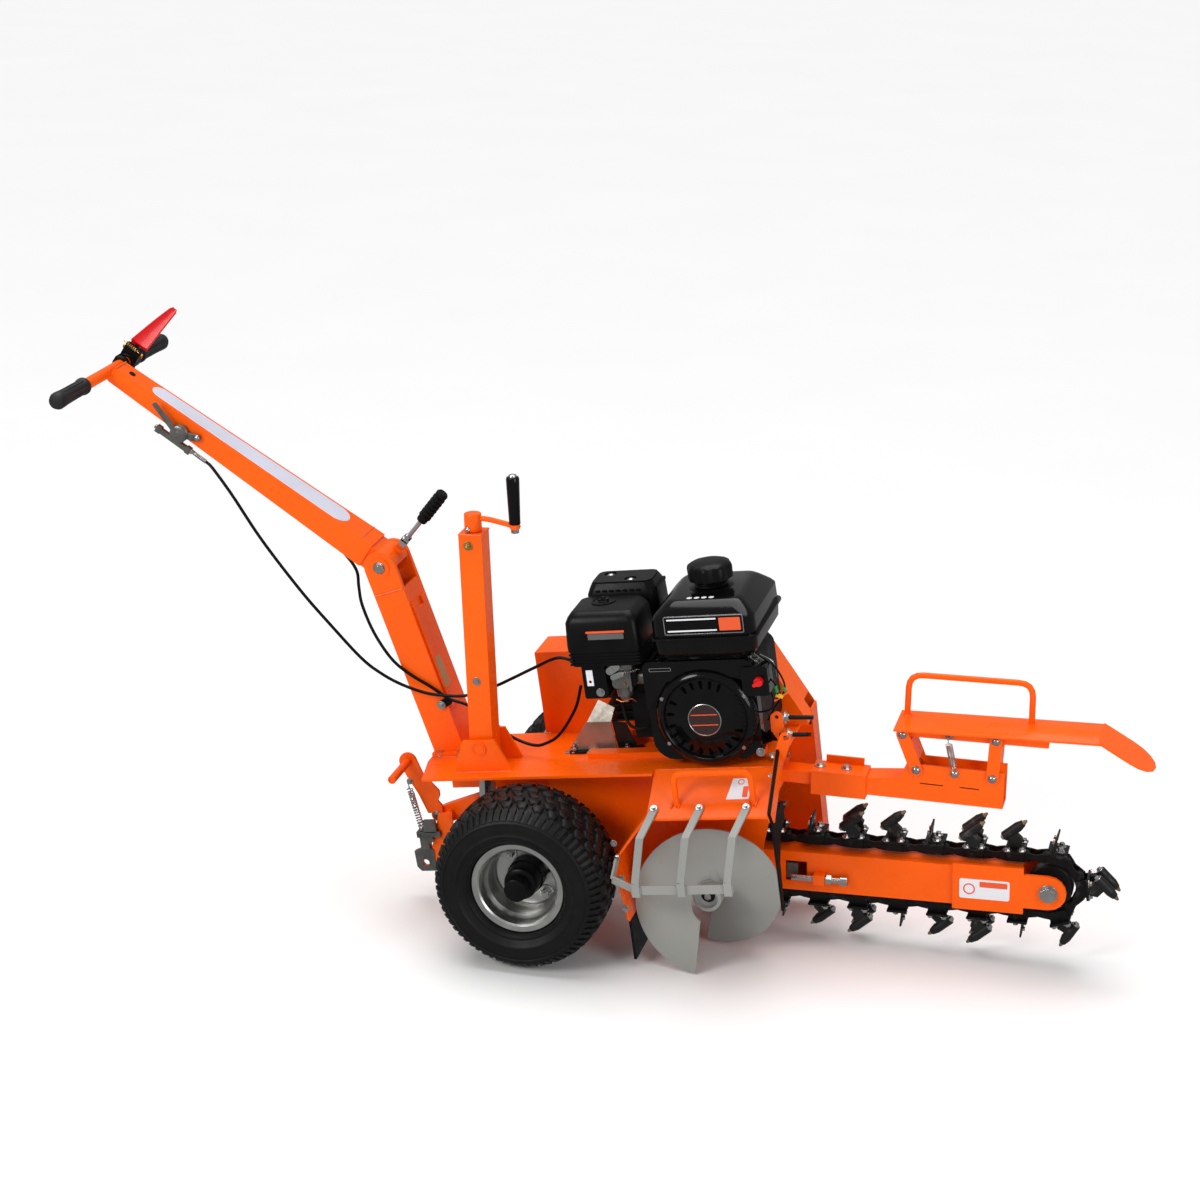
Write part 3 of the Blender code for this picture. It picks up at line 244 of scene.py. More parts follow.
ORANGE = painted("orange_powder_coat", (0.97, 0.115, 0.001), roughness=0.28, coat=0.05, dusty=0.0,
                 specular=0.16)
WELD = cast("orange_weld_bead", (0.9, 0.105, 0.002), roughness=0.32, specular=0.4)
BLACK_GLOSS = painted("black_enamel", (0.0022, 0.0022, 0.0024), roughness=0.12, coat=0.25, peel=0.1,
                      dusty=0.003,
                      specular=0.12)
BLACK_CAST = cast("black_cast_aluminium", (0.004, 0.004, 0.0042), roughness=0.5, specular=0.15)
BLACK_PLASTIC = moulded("black_moulded_plastic", (0.0032, 0.0032, 0.0035), 0.34, specular=0.15)
BLACK_FRAME = painted("black_steel_paint", (0.005, 0.005, 0.0053), roughness=0.34, coat=0.08, dusty=0.01,
                      specular=0.2)
# Near-black and barely reflecting: painted shade for the recoil cover's vent slots, not a black part.
VENT_SLOT_SHADE = moulded("vent_slot_painted_shade", (0.0008, 0.0008, 0.0008), 0.8, specular=0.02)
# Dark shaded orange: painted shade for the hollow inside of open ends and slots.
PAINTED_SHADE_INSIDE = painted("shaded_inside", (0.012, 0.003, 0.0006), roughness=0.7, coat=0.0, dusty=0.01,
                      specular=0.05)
RUBBER = moulded("black_rubber", (0.0045, 0.0042, 0.004), 0.6, depth=0.35, specular=0.15)
GRIP_RUBBER = moulded("grip_rubber", (0.013, 0.013, 0.0135), 0.5, 900.0, 0.45, 0.3)
TYRE = moulded("tyre_rubber", (0.0042, 0.0042, 0.004), 0.5, 500.0, 0.3, 0.25)
ZINC = bare_metal("zinc_plate", (0.56, 0.57, 0.59), 0.24, tint=(0.62, 0.61, 0.58))
CHROME = bare_metal("chrome_plate", (0.72, 0.72, 0.73), 0.1)
RIM_STEEL = bare_metal("silver_wheel_paint", (0.62, 0.62, 0.6), 0.34, grain=0.03)
YELLOW_ZINC = bare_metal("brass_and_yellow_zinc", (0.62, 0.42, 0.14), 0.3)
COPPER = bare_metal("copper_fittings", (0.6, 0.22, 0.08), 0.34)
GREY_PAINT = painted("grey_enamel", (0.3, 0.305, 0.285), roughness=0.34, coat=0.1, dusty=0.02, specular=0.3)
CAST_GREY = cast("bare_die_casting", (0.17, 0.17, 0.16), 0.75, 0.34)
SHEET_METAL = bare_metal("grey_sheet_metal", (0.42, 0.38, 0.33), 0.42, (1.0, 1.0, 9.0))
CHAIN_BLACK = worn_steel("blackened_chain_steel", (0.0045, 0.0042, 0.004), (0.05, 0.047, 0.044))
PICK_STEEL = worn_steel("pick_steel", (0.016, 0.0155, 0.015), (0.1, 0.094, 0.088))
CARBIDE = bare_metal("brazed_carbide", (0.36, 0.28, 0.17), 0.42)
RED = painted("red_plastic", (0.72, 0.004, 0.006), roughness=0.3, coat=0.15, peel=0.1, dusty=0.0,
              specular=0.3)
DECAL_WHITE = painted("white_decal", (0.8, 0.8, 0.84), roughness=0.35, coat=0.1, peel=0.05, dusty=0.02)
DECAL_LILAC = painted("pale_decal", (0.66, 0.66, 0.78), roughness=0.35, coat=0.1, peel=0.05, dusty=0.02)
DECAL_ORANGE = painted("orange_decal", (0.85, 0.09, 0.01), roughness=0.4, coat=0.1, peel=0.05, dusty=0.0)
DECAL_DARK = painted("dark_badge", (0.03, 0.012, 0.01), roughness=0.3, coat=0.1, peel=0.05, dusty=0.0)
DECAL_GREY = painted("grey_decal", (0.1, 0.1, 0.1), roughness=0.45, coat=0.05, peel=0.05, dusty=0.0)
DECAL_TAN = painted("tan_plate", (0.45, 0.3, 0.1), roughness=0.4, coat=0.1, peel=0.05)
WIRE_GREEN = moulded("green_connector", (0.01, 0.22, 0.04), 0.45)
WIRE_YELLOW = moulded("yellow_connector", (0.65, 0.34, 0.01), 0.45)
LOOKS = {
    "orange_paint": ORANGE, "black_paint": BLACK_GLOSS, "black_casting": BLACK_FRAME, "rubber": RUBBER,
    "black_plastic": BLACK_PLASTIC, "tyre_rubber": TYRE, "zinc_steel": ZINC, "grey_paint": GREY_PAINT,
    "cast_aluminium": CAST_GREY, "chain_steel": CHAIN_BLACK, "red_plastic": RED,
}


# Shapes ------------------------------------------------------------------------------------------

def arc(centre, radius, start, end, steps):
    turns = (radians(start + (end - start) * i / steps) for i in range(steps + 1))
    return [(centre[0] + radius * cos(a), centre[1] + radius * sin(a)) for a in turns]


def circle(centre, radius, steps=20):
    return arc(centre, radius, 0, 360, steps)[:-1]


def pill(start, end, half, steps=8):
    """An outline with round ends between two points."""
    lean = degrees(atan2(end[1] - start[1], end[0] - start[0])) + 90
    return arc(start, half, lean, lean + 180, steps) + arc(end, half, lean + 180, lean + 360, steps)


def round_box(low, high, radius, steps=5):
    """A rectangle with round corners."""
    (a, b), (c, d) = low, high
    corners = (((c - radius, d - radius), 0), ((a + radius, d - radius), 90),
               ((a + radius, b + radius), 180), ((c - radius, b + radius), 270))
    return [p for centre, turn in corners for p in arc(centre, radius, turn, turn + 90, steps)]


def smooth_path(route, step):
    """Points on a Catmull-Rom curve through a route."""
    points = [Vector(p) for p in route]
    points = [2 * points[0] - points[1], *points, 2 * points[-1] - points[-2]]
    path = []
    for a, b, c, d in zip(points, points[1:], points[2:], points[3:]):
        count = max(2, round((c - b).length / step))
        for i in range(count):
            t = i / count
            path.append(0.5 * (2 * b + (c - a) * t + (2 * a - 5 * b + 4 * c - d) * t**2
                               + (3 * b - a - 3 * c + d) * t**3))
    return [*path, points[-2]]


TURNS = {
    "X": Matrix(((0, 0, 1), (1, 0, 0), (0, 1, 0))),
    "Y": Matrix(((1, 0, 0), (0, 0, 1), (0, 1, 0))),
    "Z": Matrix.Identity(3),
}


class Form:
    """A piece in the making: closed shapes put together in one group's frame."""

    def __init__(self, place=CHASSIS):
        self.work = bmesh.new()
        self.place = place

    def _moved(self, verts, matrix):
        bmesh.ops.transform(self.work, matrix=matrix, verts=verts)
        return self

    def block(self, low, high):
        centre = Vector([(a + b) / 2 for a, b in zip(low, high)])
        size = Matrix.Diagonal([*(b - a for a, b in zip(low, high)), 1.0])
        made = bmesh.ops.create_cube(self.work, size=1.0)
        return self._moved(made["verts"], Matrix.Translation(centre) @ size)

    def rod(self, start, end, radius, sides=24, end_radius=None):
        start, end = Vector(start), Vector(end)
        last = radius if end_radius is None else end_radius
        made = bmesh.ops.create_cone(self.work, cap_ends=True, segments=sides, radius1=radius,
                                     radius2=last, depth=(end - start).length)
        turn = (end - start).to_track_quat("Z", "Y").to_matrix().to_4x4()
        return self._moved(made["verts"], Matrix.Translation((start + end) / 2) @ turn)

    def strut(self, start, end, width, depth, side=(0.0, 1.0, 0.0)):
        start, end = Vector(start), Vector(end)
        along = (end - start).normalized()
        side = Vector(side)
        side = (side - along * side.dot(along)).normalized()
        turn = Matrix((side, along.cross(side), along)).transposed().to_4x4()
        size = Matrix.Diagonal((width, depth, (end - start).length, 1.0))
        made = bmesh.ops.create_cube(self.work, size=1.0)
        return self._moved(made["verts"], Matrix.Translation((start + end) / 2) @ turn @ size)

    def plate(self, outline, low, high, axis="Y", holes=(), matrix=None):
        """A flat outline, with holes, from low to high along an axis."""
        loops = [outline, *holes]
        flat = [Vector((a, b, 0.0)) for loop in loops for a, b in loop]
        faces = tessellate_polygon([[Vector((a, b, 0.0)) for a, b in loop] for loop in loops])
        bottom = [self.work.verts.new((p.x, p.y, low)) for p in flat]
        top = [self.work.verts.new((p.x, p.y, high)) for p in flat]
        for a, b, c in faces:
            self.work.faces.new((bottom[a], bottom[b], bottom[c]))
            self.work.faces.new((top[c], top[b], top[a]))
        start = 0
        for loop in loops:
            for i in range(len(loop)):
                j, k = start + i, start + (i + 1) % len(loop)
                self.work.faces.new((bottom[j], bottom[k], top[k], top[j]))
            start += len(loop)
        turn = TURNS[axis].to_4x4()
        return self._moved(bottom + top, matrix @ turn if matrix else turn)

    def skin(self, rings):
        """A closed skin through rings of points, with a face on the first and on the last."""
        rings = [[self.work.verts.new(point) for point in ring] for ring in rings]
        for a, b in zip(rings, rings[1:]):
            for k in range(len(a)):
                j = (k + 1) % len(a)
                self.work.faces.new((a[k], a[j], b[j], b[k]))
        self.work.faces.new(rings[0])
        self.work.faces.new(rings[-1])
        return self

    def stack(self, levels):
        """A closed skin through outlines of equal length, each at its (level, outline) along Z."""
        return self.skin([[(x, y, level) for x, y in outline] for level, outline in levels])

    def turned(self, profile, start, end, sides=48):
        """A closed (radius, along) profile turned about the line from start towards end."""
        start, end = Vector(start), Vector(end)
        turn = (end - start).to_track_quat("Z", "Y").to_matrix().to_4x4()
        rings = []
        for i in range(sides):
            a = 2 * pi * i / sides
            rings.append([None if r == 0 and i else self.work.verts.new((r * cos(a), r * sin(a), h))
                          for r, h in profile])
        for ring in rings[1:]:
            for k, vertex in enumerate(ring):
                if vertex is None:
                    ring[k] = rings[0][k]
        count = len(profile)
        for a, b in zip(rings, rings[1:] + rings[:1]):
            for k in range(count):
                corners = (a[k], b[k], b[(k + 1) % count], a[(k + 1) % count])
                unique = list(dict.fromkeys(corners))
                if len(unique) > 2:
                    self.work.faces.new(unique)
        verts = list({v for ring in rings for v in ring})
        return self._moved(verts, Matrix.Translation(start) @ turn)

    def tube(self, path, radius, sides=12, radii=None):
        """A round tube along a path, closed at both ends."""
        path = [Vector(p) for p in path]
        tangent = (path[1] - path[0]).normalized()
        side = tangent.orthogonal().normalized()
        rings = []
        for i, point in enumerate(path):
            before, after = path[max(i - 1, 0)], path[min(i + 1, len(path) - 1)]
            new = (after - before).normalized()
            side = tangent.rotation_difference(new) @ side
            side = (side - new * side.dot(new)).normalized()
            tangent = new
            other = tangent.cross(side)
            reach = radii[i] if radii else radius
            turns = (2 * pi * k / sides for k in range(sides))
            rings.append([point + (side * cos(a) + other * sin(a)) * reach for a in turns])
        return self.skin(rings)

    def helix(self, start, end, radius, wire, turns, sides=8, hooks=True):
        """A coil spring between two points, with a hook at each end."""
        start, end = Vector(start), Vector(end)
        axis = (end - start).normalized()
        side = axis.orthogonal().normalized()
        other = axis.cross(side)
        steps = turns * 12
        path = [start + (end - start) * (i / steps) + (side * cos(2 * pi * i / 12)
                                                       + other * sin(2 * pi * i / 12)) * radius
                for i in range(steps + 1)]
        if hooks:
            path = [start - axis * radius * 2.2, start - axis * radius * 0.6, *path,
                    end + axis * radius * 0.6, end + axis * radius * 2.2]
        return self.tube(path, wire, sides)

    def bolt(self, at, out, size=0.008, head=0.0055, washer=True, domed=False, shank=0.004):
        """A bolt head on a washer: at is on the surface and out points away from it. Size is across flats."""
        at, out = Vector(at), Vector(out).normalized()
        base = 0.0
        if washer:
            base = size * 0.16
            self.rod(at - out * 0.0004, at + out * base, size * 0.95, 20)
        if domed:
            half = size * 0.8
            profile = [(0.0, -shank), (half * 0.6, -shank), (half * 0.6, 0.0), (half, base),
                       (half * 0.97, base + 0.2 * head),
                       (half * 0.7, base + 0.75 * head), (half * 0.3, base + head), (0.0, base + head)]
            return self.turned(profile, at, at + out, 20)
        self.rod(at - out * shank, at + out * base, size * 0.5, 12)
        return self.rod(at + out * (base - 0.0002), at + out * (base + head), size / 2 / cos(pi / 6), 6)

    def add(self, name, look, body, bevel=0.0008, segments=2, angle=38.0, replaces=()):
        """The finished piece: one mesh in the row's frame, with soft edges, riding on a body."""
        bmesh.ops.recalc_face_normals(self.work, faces=self.work.faces)
        bmesh.ops.transform(self.work, matrix=self.place, verts=self.work.verts)
        mesh = bpy.data.meshes.new(name)
        self.work.to_mesh(mesh)
        self.work.free()
        return place_piece(name, mesh, look, body, bevel, segments, angle, replaces)


def place_piece(name, mesh, look, body, bevel, segments, angle, replaces):
    """Puts a mesh in the scene on its body; where it stands for CAD nodes it hides them."""
    piece = bpy.data.objects.new(name, mesh)
    bpy.context.scene.collection.objects.link(piece)
    mesh.materials.clear()
    mesh.materials.append(look)
    mesh.shade_smooth()
    mesh.set_sharp_from_angle(angle=radians(angle))
    if bevel:
        edge = piece.modifiers.new("edges", "BEVEL")
        edge.width = bevel
        edge.segments = segments
        edge.limit_method = "ANGLE"
        edge.angle_limit = radians(angle)
        edge.harden_normals = True
    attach(piece, body)
    if replaces:
        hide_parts(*replaces)
    return piece


def from_cad(node, look=None, bevel=0.0012, segments=3, angle=34.0):
    """A CAD node's own shape with rounded edges, standing for the node."""
    work = bmesh.new()
    work.from_mesh(frame["nodes"][node].data)
    bmesh.ops.remove_doubles(work, verts=work.verts, dist=1e-6)
    bmesh.ops.dissolve_limit(work, angle_limit=radians(1.0), verts=work.verts, edges=work.edges)
    mesh = bpy.data.meshes.new(node + "_skin")
    work.to_mesh(mesh)
    work.free()
    return place_piece(node + "_skin", mesh, look or LOOKS[SLOTS[node]], NODE_BODY[node], bevel, segments,
                       angle, [node])


# Camera, light and floor -------------------------------------------------------------------------

def make_stage():
    scene = bpy.context.scene
    scene.view_settings.view_transform = "Standard"
    camera = bpy.data.objects.new("camera", bpy.data.cameras.new("camera"))
    scene.collection.objects.link(camera)
    camera.data.lens = 80.2
    azimuth, elevation = radians(15.28), radians(19.67)
    ahead = Vector((-sin(azimuth) * cos(elevation), cos(azimuth) * cos(elevation), -sin(elevation)))
    camera.location = Vector((1.3088 + AXLE.x, -4.5122, 2.3011))
    camera.rotation_euler = ahead.to_track_quat("-Z", "Y").to_euler()
    scene.camera = camera

    world = bpy.data.worlds.new("studio")
    world.use_nodes = True
    world.node_tree.nodes["Background"].inputs["Color"].default_value = (1.0, 1.0, 1.0, 1.0)
    world.node_tree.nodes["Background"].inputs["Strength"].default_value = 0.32
    scene.world = world

    floor_look = Look("studio_floor", 0.95, specular=0.1)
    floor_look.colour(floor_look.ramp(floor_look.noise(2.0),
                                      [(0.2, (0.85, 0.85, 0.85)), (0.8, (0.87, 0.87, 0.87))]))
    work = bmesh.new()
    bmesh.ops.create_grid(work, x_segments=1, y_segments=1, size=40.0)
    mesh = bpy.data.meshes.new("floor")
    work.to_mesh(mesh)
    work.free()
    floor = bpy.data.objects.new("floor", mesh)
    scene.collection.objects.link(floor)
    mesh.materials.append(floor_look.material)
    floor.visible_glossy = False

    overhead = bpy.data.objects.new("overhead", bpy.data.lights.new("overhead", "SUN"))
    overhead.data.energy = 2.5
    overhead.data.angle = radians(55)
    overhead.rotation_euler = (radians(-12), radians(-8), 0.0)
    scene.collection.objects.link(overhead)
    for name, place, size, power, shade_of in (
        ("key", (-2.2, -3.2, 2.6), 1.6, 75, (1.0, 0.99, 0.97)),
        ("fill", (3.2, -2.2, 1.6), 2.0, 40, (0.98, 0.99, 1.0)),
    ):
        light = bpy.data.objects.new(name, bpy.data.lights.new(name, "AREA"))
        light.data.shape = "DISK"
        light.data.size = size
        light.data.energy = power
        light.data.color = shade_of
        light.location = place
        light.rotation_euler = (Vector((0.0, 0.0, 0.4)) - Vector(place)).to_track_quat("-Z", "Y").to_euler()
        scene.collection.objects.link(light)


# Wheels ------------------------------------------------------------------------------------------

CROWN = ((0.0, 0.1645), (0.018, 0.1642), (0.04, 0.1628), (0.056, 0.1595), (0.066, 0.1552), (0.0735, 0.1495),
         (0.079, 0.142), (0.0815, 0.134))
TREAD_DEPTH = 0.006
TREAD_PITCHES = 34


def crown_radius(y):
    """The tread's outer radius at a distance from the tyre's middle."""
    y = abs(y)
    for (a, ra), (b, rb) in zip(CROWN, CROWN[1:]):
        if y <= b:
            return ra + (rb - ra) * (y - a) / (b - a)
    return CROWN[-1][1]


def tread_block(form, corners, turn):
    """A block on the crown, from its corners as (angle, y), with slightly drawn-in top corners."""
    middle = (sum(c[0] for c in corners) / len(corners), sum(c[1] for c in corners) / len(corners))
    rings = []
    for lift, inset in ((-TREAD_DEPTH - 0.0015, 1.06), (-0.0007, 0.95), (0.0, 0.86)):
        ring = []
        for a, y in corners:
            a, y = (middle[0] + (a - middle[0]) * inset + turn, middle[1] + (y - middle[1]) * inset)
            reach = crown_radius(y) + lift
            ring.append((reach * cos(a), y, reach * sin(a)))
        rings.append(ring)
    form.skin(rings)


def make_tyre(side):
    form = Form(wheel_frame(side))
    under = [(r - TREAD_DEPTH, y) for y, r in CROWN[:6]]
    outer = [(0.1585, 0.0), *under[1:], (0.1425, 0.0783), (0.14, 0.0786), (0.1385, 0.0808), (0.1362, 0.0812),
             (0.1348, 0.0796), (0.128, 0.0806), (0.12, 0.0808), (0.114, 0.0802), (0.1125, 0.0815),
             (0.1108, 0.0815), (0.1095, 0.0795), (0.104, 0.077), (0.0985, 0.0735), (0.097, 0.0742),
             (0.0952, 0.0738), (0.094, 0.0712), (0.0915, 0.069), (0.0895, 0.06), (0.0885, 0.0545),
             (0.08, 0.0535)]
    inner = [(0.08, 0.043), (0.09, 0.044), (0.098, 0.058), (0.112, 0.069), (0.13, 0.068), (0.144, 0.058),
             (0.151, 0.042), (0.152, 0.0)]
    half = outer + inner
    mirrored = [(r, -y) for r, y in reversed(half)]
    profile = half[:-1] + [inner[-1]] + mirrored[1:-1]
    form.turned(profile, (0, 0, 0), (0, 1, 0), 96)
    s = 2 * pi / TREAD_PITCHES
    for i in range(TREAD_PITCHES):
        turn = i * s
        tread_block(form, [(-0.4 * s, -0.009), (-0.08 * s, -0.0115), (0.12 * s, -0.0085), (0.4 * s, 0.009),
                           (0.08 * s, 0.0115), (-0.12 * s, 0.0085)], turn)
        for sign in (-1, 1):
            shift = 0.25 * s * sign
            tread_block(form, [(shift - 0.38 * s, sign * 0.015), (shift + 0.3 * s, sign * 0.0135),
                               (shift + 0.4 * s, sign * 0.0215), (shift + 0.12 * s, sign * 0.0325),
                               (shift - 0.3 * s, sign * 0.0305)], turn)
            tread_block(form, [(shift + 0.2 * s, sign * 0.0365), (shift + 0.86 * s, sign * 0.0345),
                               (shift + 0.9 * s, sign * 0.044), (shift + 0.62 * s, sign * 0.0545),
                               (shift + 0.26 * s, sign * 0.052)], turn)
            for part in (0.0, 0.5):
                at = shift + (part - 0.1) * s
                tread_block(form, [(at - 0.16 * s, sign * 0.0575), (at + 0.14 * s, sign * 0.0565),
                                   (at + 0.17 * s, sign * 0.079), (at - 0.1 * s, sign * 0.0795)], turn)
    form.add(f"turf_tyre_{side}", TYRE, f"wheel_{side}", 0.0, angle=50,
             replaces=[f"tyre_{side}"])


def make_rim(side, out):
    """The two-lipped rim, its dished disc, nuts and valve. out is -1 where outside is towards -Y."""
    form = Form(wheel_frame(side))
    profile = [(0.0868, 0.06), (0.0885, 0.0575), (0.0878, 0.0548), (0.085, 0.0545), (0.079, 0.053),
               (0.0772, 0.048), (0.0765, 0.0405), (0.0735, 0.037), (0.069, 0.032), (0.0682, 0.029),
               (0.0682, -0.029), (0.0765, -0.04), (0.0785, -0.053), (0.0868, -0.055), (0.0868, -0.06),
               (0.075, -0.058), (0.0728, -0.042), (0.0652, -0.032), (0.065, -0.0105), (0.06, -0.008),
               (0.052, -0.012), (0.04, -0.0125), (0.013, -0.011), (0.013, -0.015), (0.04, -0.0163),
               (0.054, -0.016), (0.06, -0.0125), (0.065, -0.015), (0.0652, 0.031), (0.07, 0.036),
               (0.0728, 0.041), (0.0745, 0.056), (0.0775, 0.059)]
    form.turned([(r, y * out) for r, y in profile], (0, 0, 0), (0, 1, 0), 72)
    form.add(f"steel_rim_{side}", RIM_STEEL, f"wheel_{side}", 0.0, replaces=[f"rim_{side}"])
    nuts = Form(wheel_frame(side))
    for i in range(4):
        a = pi / 4 + i * pi / 2
        at = (0.049 * cos(a), -0.0119 * out, 0.049 * sin(a))
        nuts.bolt(at, (0, out, 0), 0.014, 0.01, washer=True)
        nuts.rod((at[0], -0.004 * out, at[2]), (at[0], 0.004 * out, at[2]), 0.0045, 12)
    nuts.add(f"lug_nuts_{side}", ZINC, f"wheel_{side}", 0.0005)
    valve = Form(wheel_frame(side))
    valve.rod((0.06, 0.012 * out, 0.034), (0.047, 0.04 * out, 0.027), 0.0048, 12, 0.0038)
    valve.rod((0.047, 0.04 * out, 0.027), (0.0445, 0.0455 * out, 0.0256), 0.0046, 12)
    valve.add(f"valve_stem_{side}", RUBBER, f"wheel_{side}", 0.0005)
    hub = Form(wheel_frame(side))
    cap = [(0.0, 0.0735), (0.019, 0.0735), (0.0215, 0.072), (0.0222, 0.069), (0.0225, 0.046), (0.027, 0.045),
           (0.03, 0.043), (0.031, 0.039), (0.0325, 0.012), (0.0345, 0.01), (0.035, -0.01),
           (0.013, -0.0107), (0.013, 0.015), (0.0, 0.015)]
    hub.turned([(r, y * out) for r, y in cap], (0, 0, 0), (0, 1, 0), 40)
    hub.add(f"hub_cover_{side}", BLACK_PLASTIC, f"wheel_{side}", 0.0,
            replaces=[f"hub_cap_{side}"])


# Engine ------------------------------------------------------------------------------------------

FILLER_AT = (0.375, -0.066)
RECOIL_AT = (0.3553, 0.2651)
SWITCH_AT = (0.462, 0.333)
AIR_KNOB_AT = ((0.176, -0.092, 0), (0.176, -0.092, 1))
MUFFLER_SCREWS = ((0.1612, 0.0205), (0.2079, -0.0115))
ENGINE_FOOT = 0.1766


def make_tank():
    low, high = Vector((0.273, -0.18, 0.3755)), Vector((0.477, 0.052, 0.4885))
    seam = 0.426
    form = Form()
    levels = ((low.z, 0.034), (low.z + 0.008, 0.018), (low.z + 0.022, 0.008), (seam - 0.006, 0.006),
              (seam + 0.034, 0.007),
              (seam + 0.041, 0.012), (high.z - 0.007, 0.027), (high.z - 0.0015, 0.034), (high.z, 0.041))
    form.stack([(level, round_box((low.x + drawn, low.y + drawn), (high.x - drawn, high.y - drawn), 0.022, 8))
                for level, drawn in levels])
    form.add("tank_shell", BLACK_GLOSS, "chassis", 0.0, angle=28, replaces=["fuel_tank"])
    flange = Form()
    outline = round_box((low.x + 0.0005, low.y + 0.0005), (high.x - 0.0005, high.y - 0.0005), 0.024, 8)
    flange.plate(outline, seam - 0.002, seam + 0.002, "Z")
    flange.add("tank_seam", BLACK_GLOSS, "chassis", 0.001, 3)
    Form().plate(round_box((0.3075, 0.4345), (0.4535, 0.469), 0.003), low.y + 0.0035, low.y + 0.0068, "Y",
                 [round_box((0.3092, 0.4362), (0.4518, 0.4673), 0.002)]).add(
        "tank_badge_border", ZINC, "chassis", 0.0003)
    Form().plate(round_box((0.3093, 0.4363), (0.4517, 0.4672), 0.002), low.y + 0.0042, low.y + 0.0066,
                 "Y").add(
        "tank_badge_plate", BLACK_PLASTIC, "chassis", 0.0)
    Form().plate(round_box((0.409, 0.44), (0.448, 0.464), 0.0015), low.y + 0.0038, low.y + 0.0046, "Y").add(
        "tank_badge_mark", DECAL_ORANGE, "chassis", 0.0)
    badge = Form()
    badge.plate(round_box((0.3135, 0.44), (0.404, 0.4428), 0.001), low.y + 0.0038, low.y + 0.0046, "Y")
    badge.plate(round_box((0.3135, 0.4612), (0.404, 0.464), 0.001), low.y + 0.0038, low.y + 0.0046, "Y")
    badge.add("tank_badge_lines", DECAL_WHITE, "chassis", 0.0)
    neck = Form()
    x, y = FILLER_AT
    neck.turned([(0.0, 0.482), (0.04, 0.482), (0.044, 0.4875), (0.036, 0.4905), (0.03, 0.491),
                 (0.032, 0.4935),
                 (0.03, 0.496), (0.032, 0.4985), (0.03, 0.5015), (0.0, 0.5015)], (x, y, 0), (x, y, 1), 40)
    neck.add("filler_neck", BLACK_PLASTIC, "chassis", 0.0)
    marks = Form()
    for i in range(4):
        marks.turned([(0.0, 0.4884), (0.005, 0.4884), (0.005, 0.4888), (0.0, 0.4888)],
                     (0.349 + i * 0.0135, -0.133, 0), (0.349 + i * 0.0135, -0.133, 1), 20)
    marks.add("tank_marks", DECAL_WHITE, "chassis", 0.0)


def make_fuel_cap():
    """A large cap with eight broad flutes and a slightly domed top."""
    x, y = FILLER_AT
    form = Form()
    flutes, base = 8, 0.5032
    levels = ((base, 0.037, 0.0), (base + 0.002, 0.0405, 0.001), (base + 0.022, 0.0405, 0.0016),
              (base + 0.027, 0.039, 0.0012), (base + 0.0305, 0.0345, 0.0006), (base + 0.0325, 0.028, 0.0),
              (base + 0.0345, 0.018, 0.0))
    form.stack([(level, [(x + (reach + wave * cos(flutes * a)) * cos(a),
                          y + (reach + wave * cos(flutes * a)) * sin(a))
                         for a in (2 * pi * i / 96 for i in range(96))]) for level, reach, wave in levels])
    form.add("fluted_fuel_cap", BLACK_PLASTIC, "cap", 0.0, angle=35, replaces=["fuel_cap"])


def make_air_cleaner():
    form = Form()
    form.plate(round_box((0.121, -0.163), (0.251, -0.048), 0.012), 0.3765, 0.404, "Z")
    form.stack([(level, round_box((0.115 + drawn, -0.165 + drawn), (0.254 - drawn, -0.0455 - drawn), 0.014,
                                  6))
                for level, drawn in ((0.4035, 0.0005), (0.415, 0.0), (0.458, 0.002), (0.467, 0.006),
                                     (0.4745, 0.012), (0.4765, 0.017))])
    form.turned([(0.0, 0.475), (0.022, 0.475), (0.0228, 0.478), (0.0205, 0.4784), (0.0195, 0.4768),
                 (0.0, 0.4768)],
                *AIR_KNOB_AT, 36)
    for i in range(4):
        form.block((0.1195, -0.1644, 0.3795 + i * 0.006), (0.2525, -0.048, 0.3825 + i * 0.006))
    form.add("air_cleaner_body", BLACK_PLASTIC, "chassis", 0.0, angle=30,
             replaces=["air_cleaner"])
    nut = Form()
    nut.turned([(0.0, 0.4755), (0.01, 0.4755), (0.0092, 0.4785), (0.0, 0.4795)],
               *AIR_KNOB_AT, 24)
    nut.block((0.166, -0.0938, 0.4765), (0.186, -0.0902, 0.4815))
    nut.rod((0.176, -0.092, 0.476), (0.176, -0.092, 0.4855), 0.0042, 14, 0.003)
    nut.add("air_cleaner_knob", BLACK_PLASTIC, "chassis", 0.001)
    Form().plate(round_box((0.157, 0.44), (0.229, 0.444), 0.0012), -0.1652, -0.164).add(
        "air_cleaner_stripe", DECAL_ORANGE, "chassis", 0.0)
    Form().plate(round_box((0.16, 0.428), (0.227, 0.439), 0.0012), -0.1651, -0.164).add(
        "air_cleaner_label", DECAL_GREY, "chassis", 0.0)


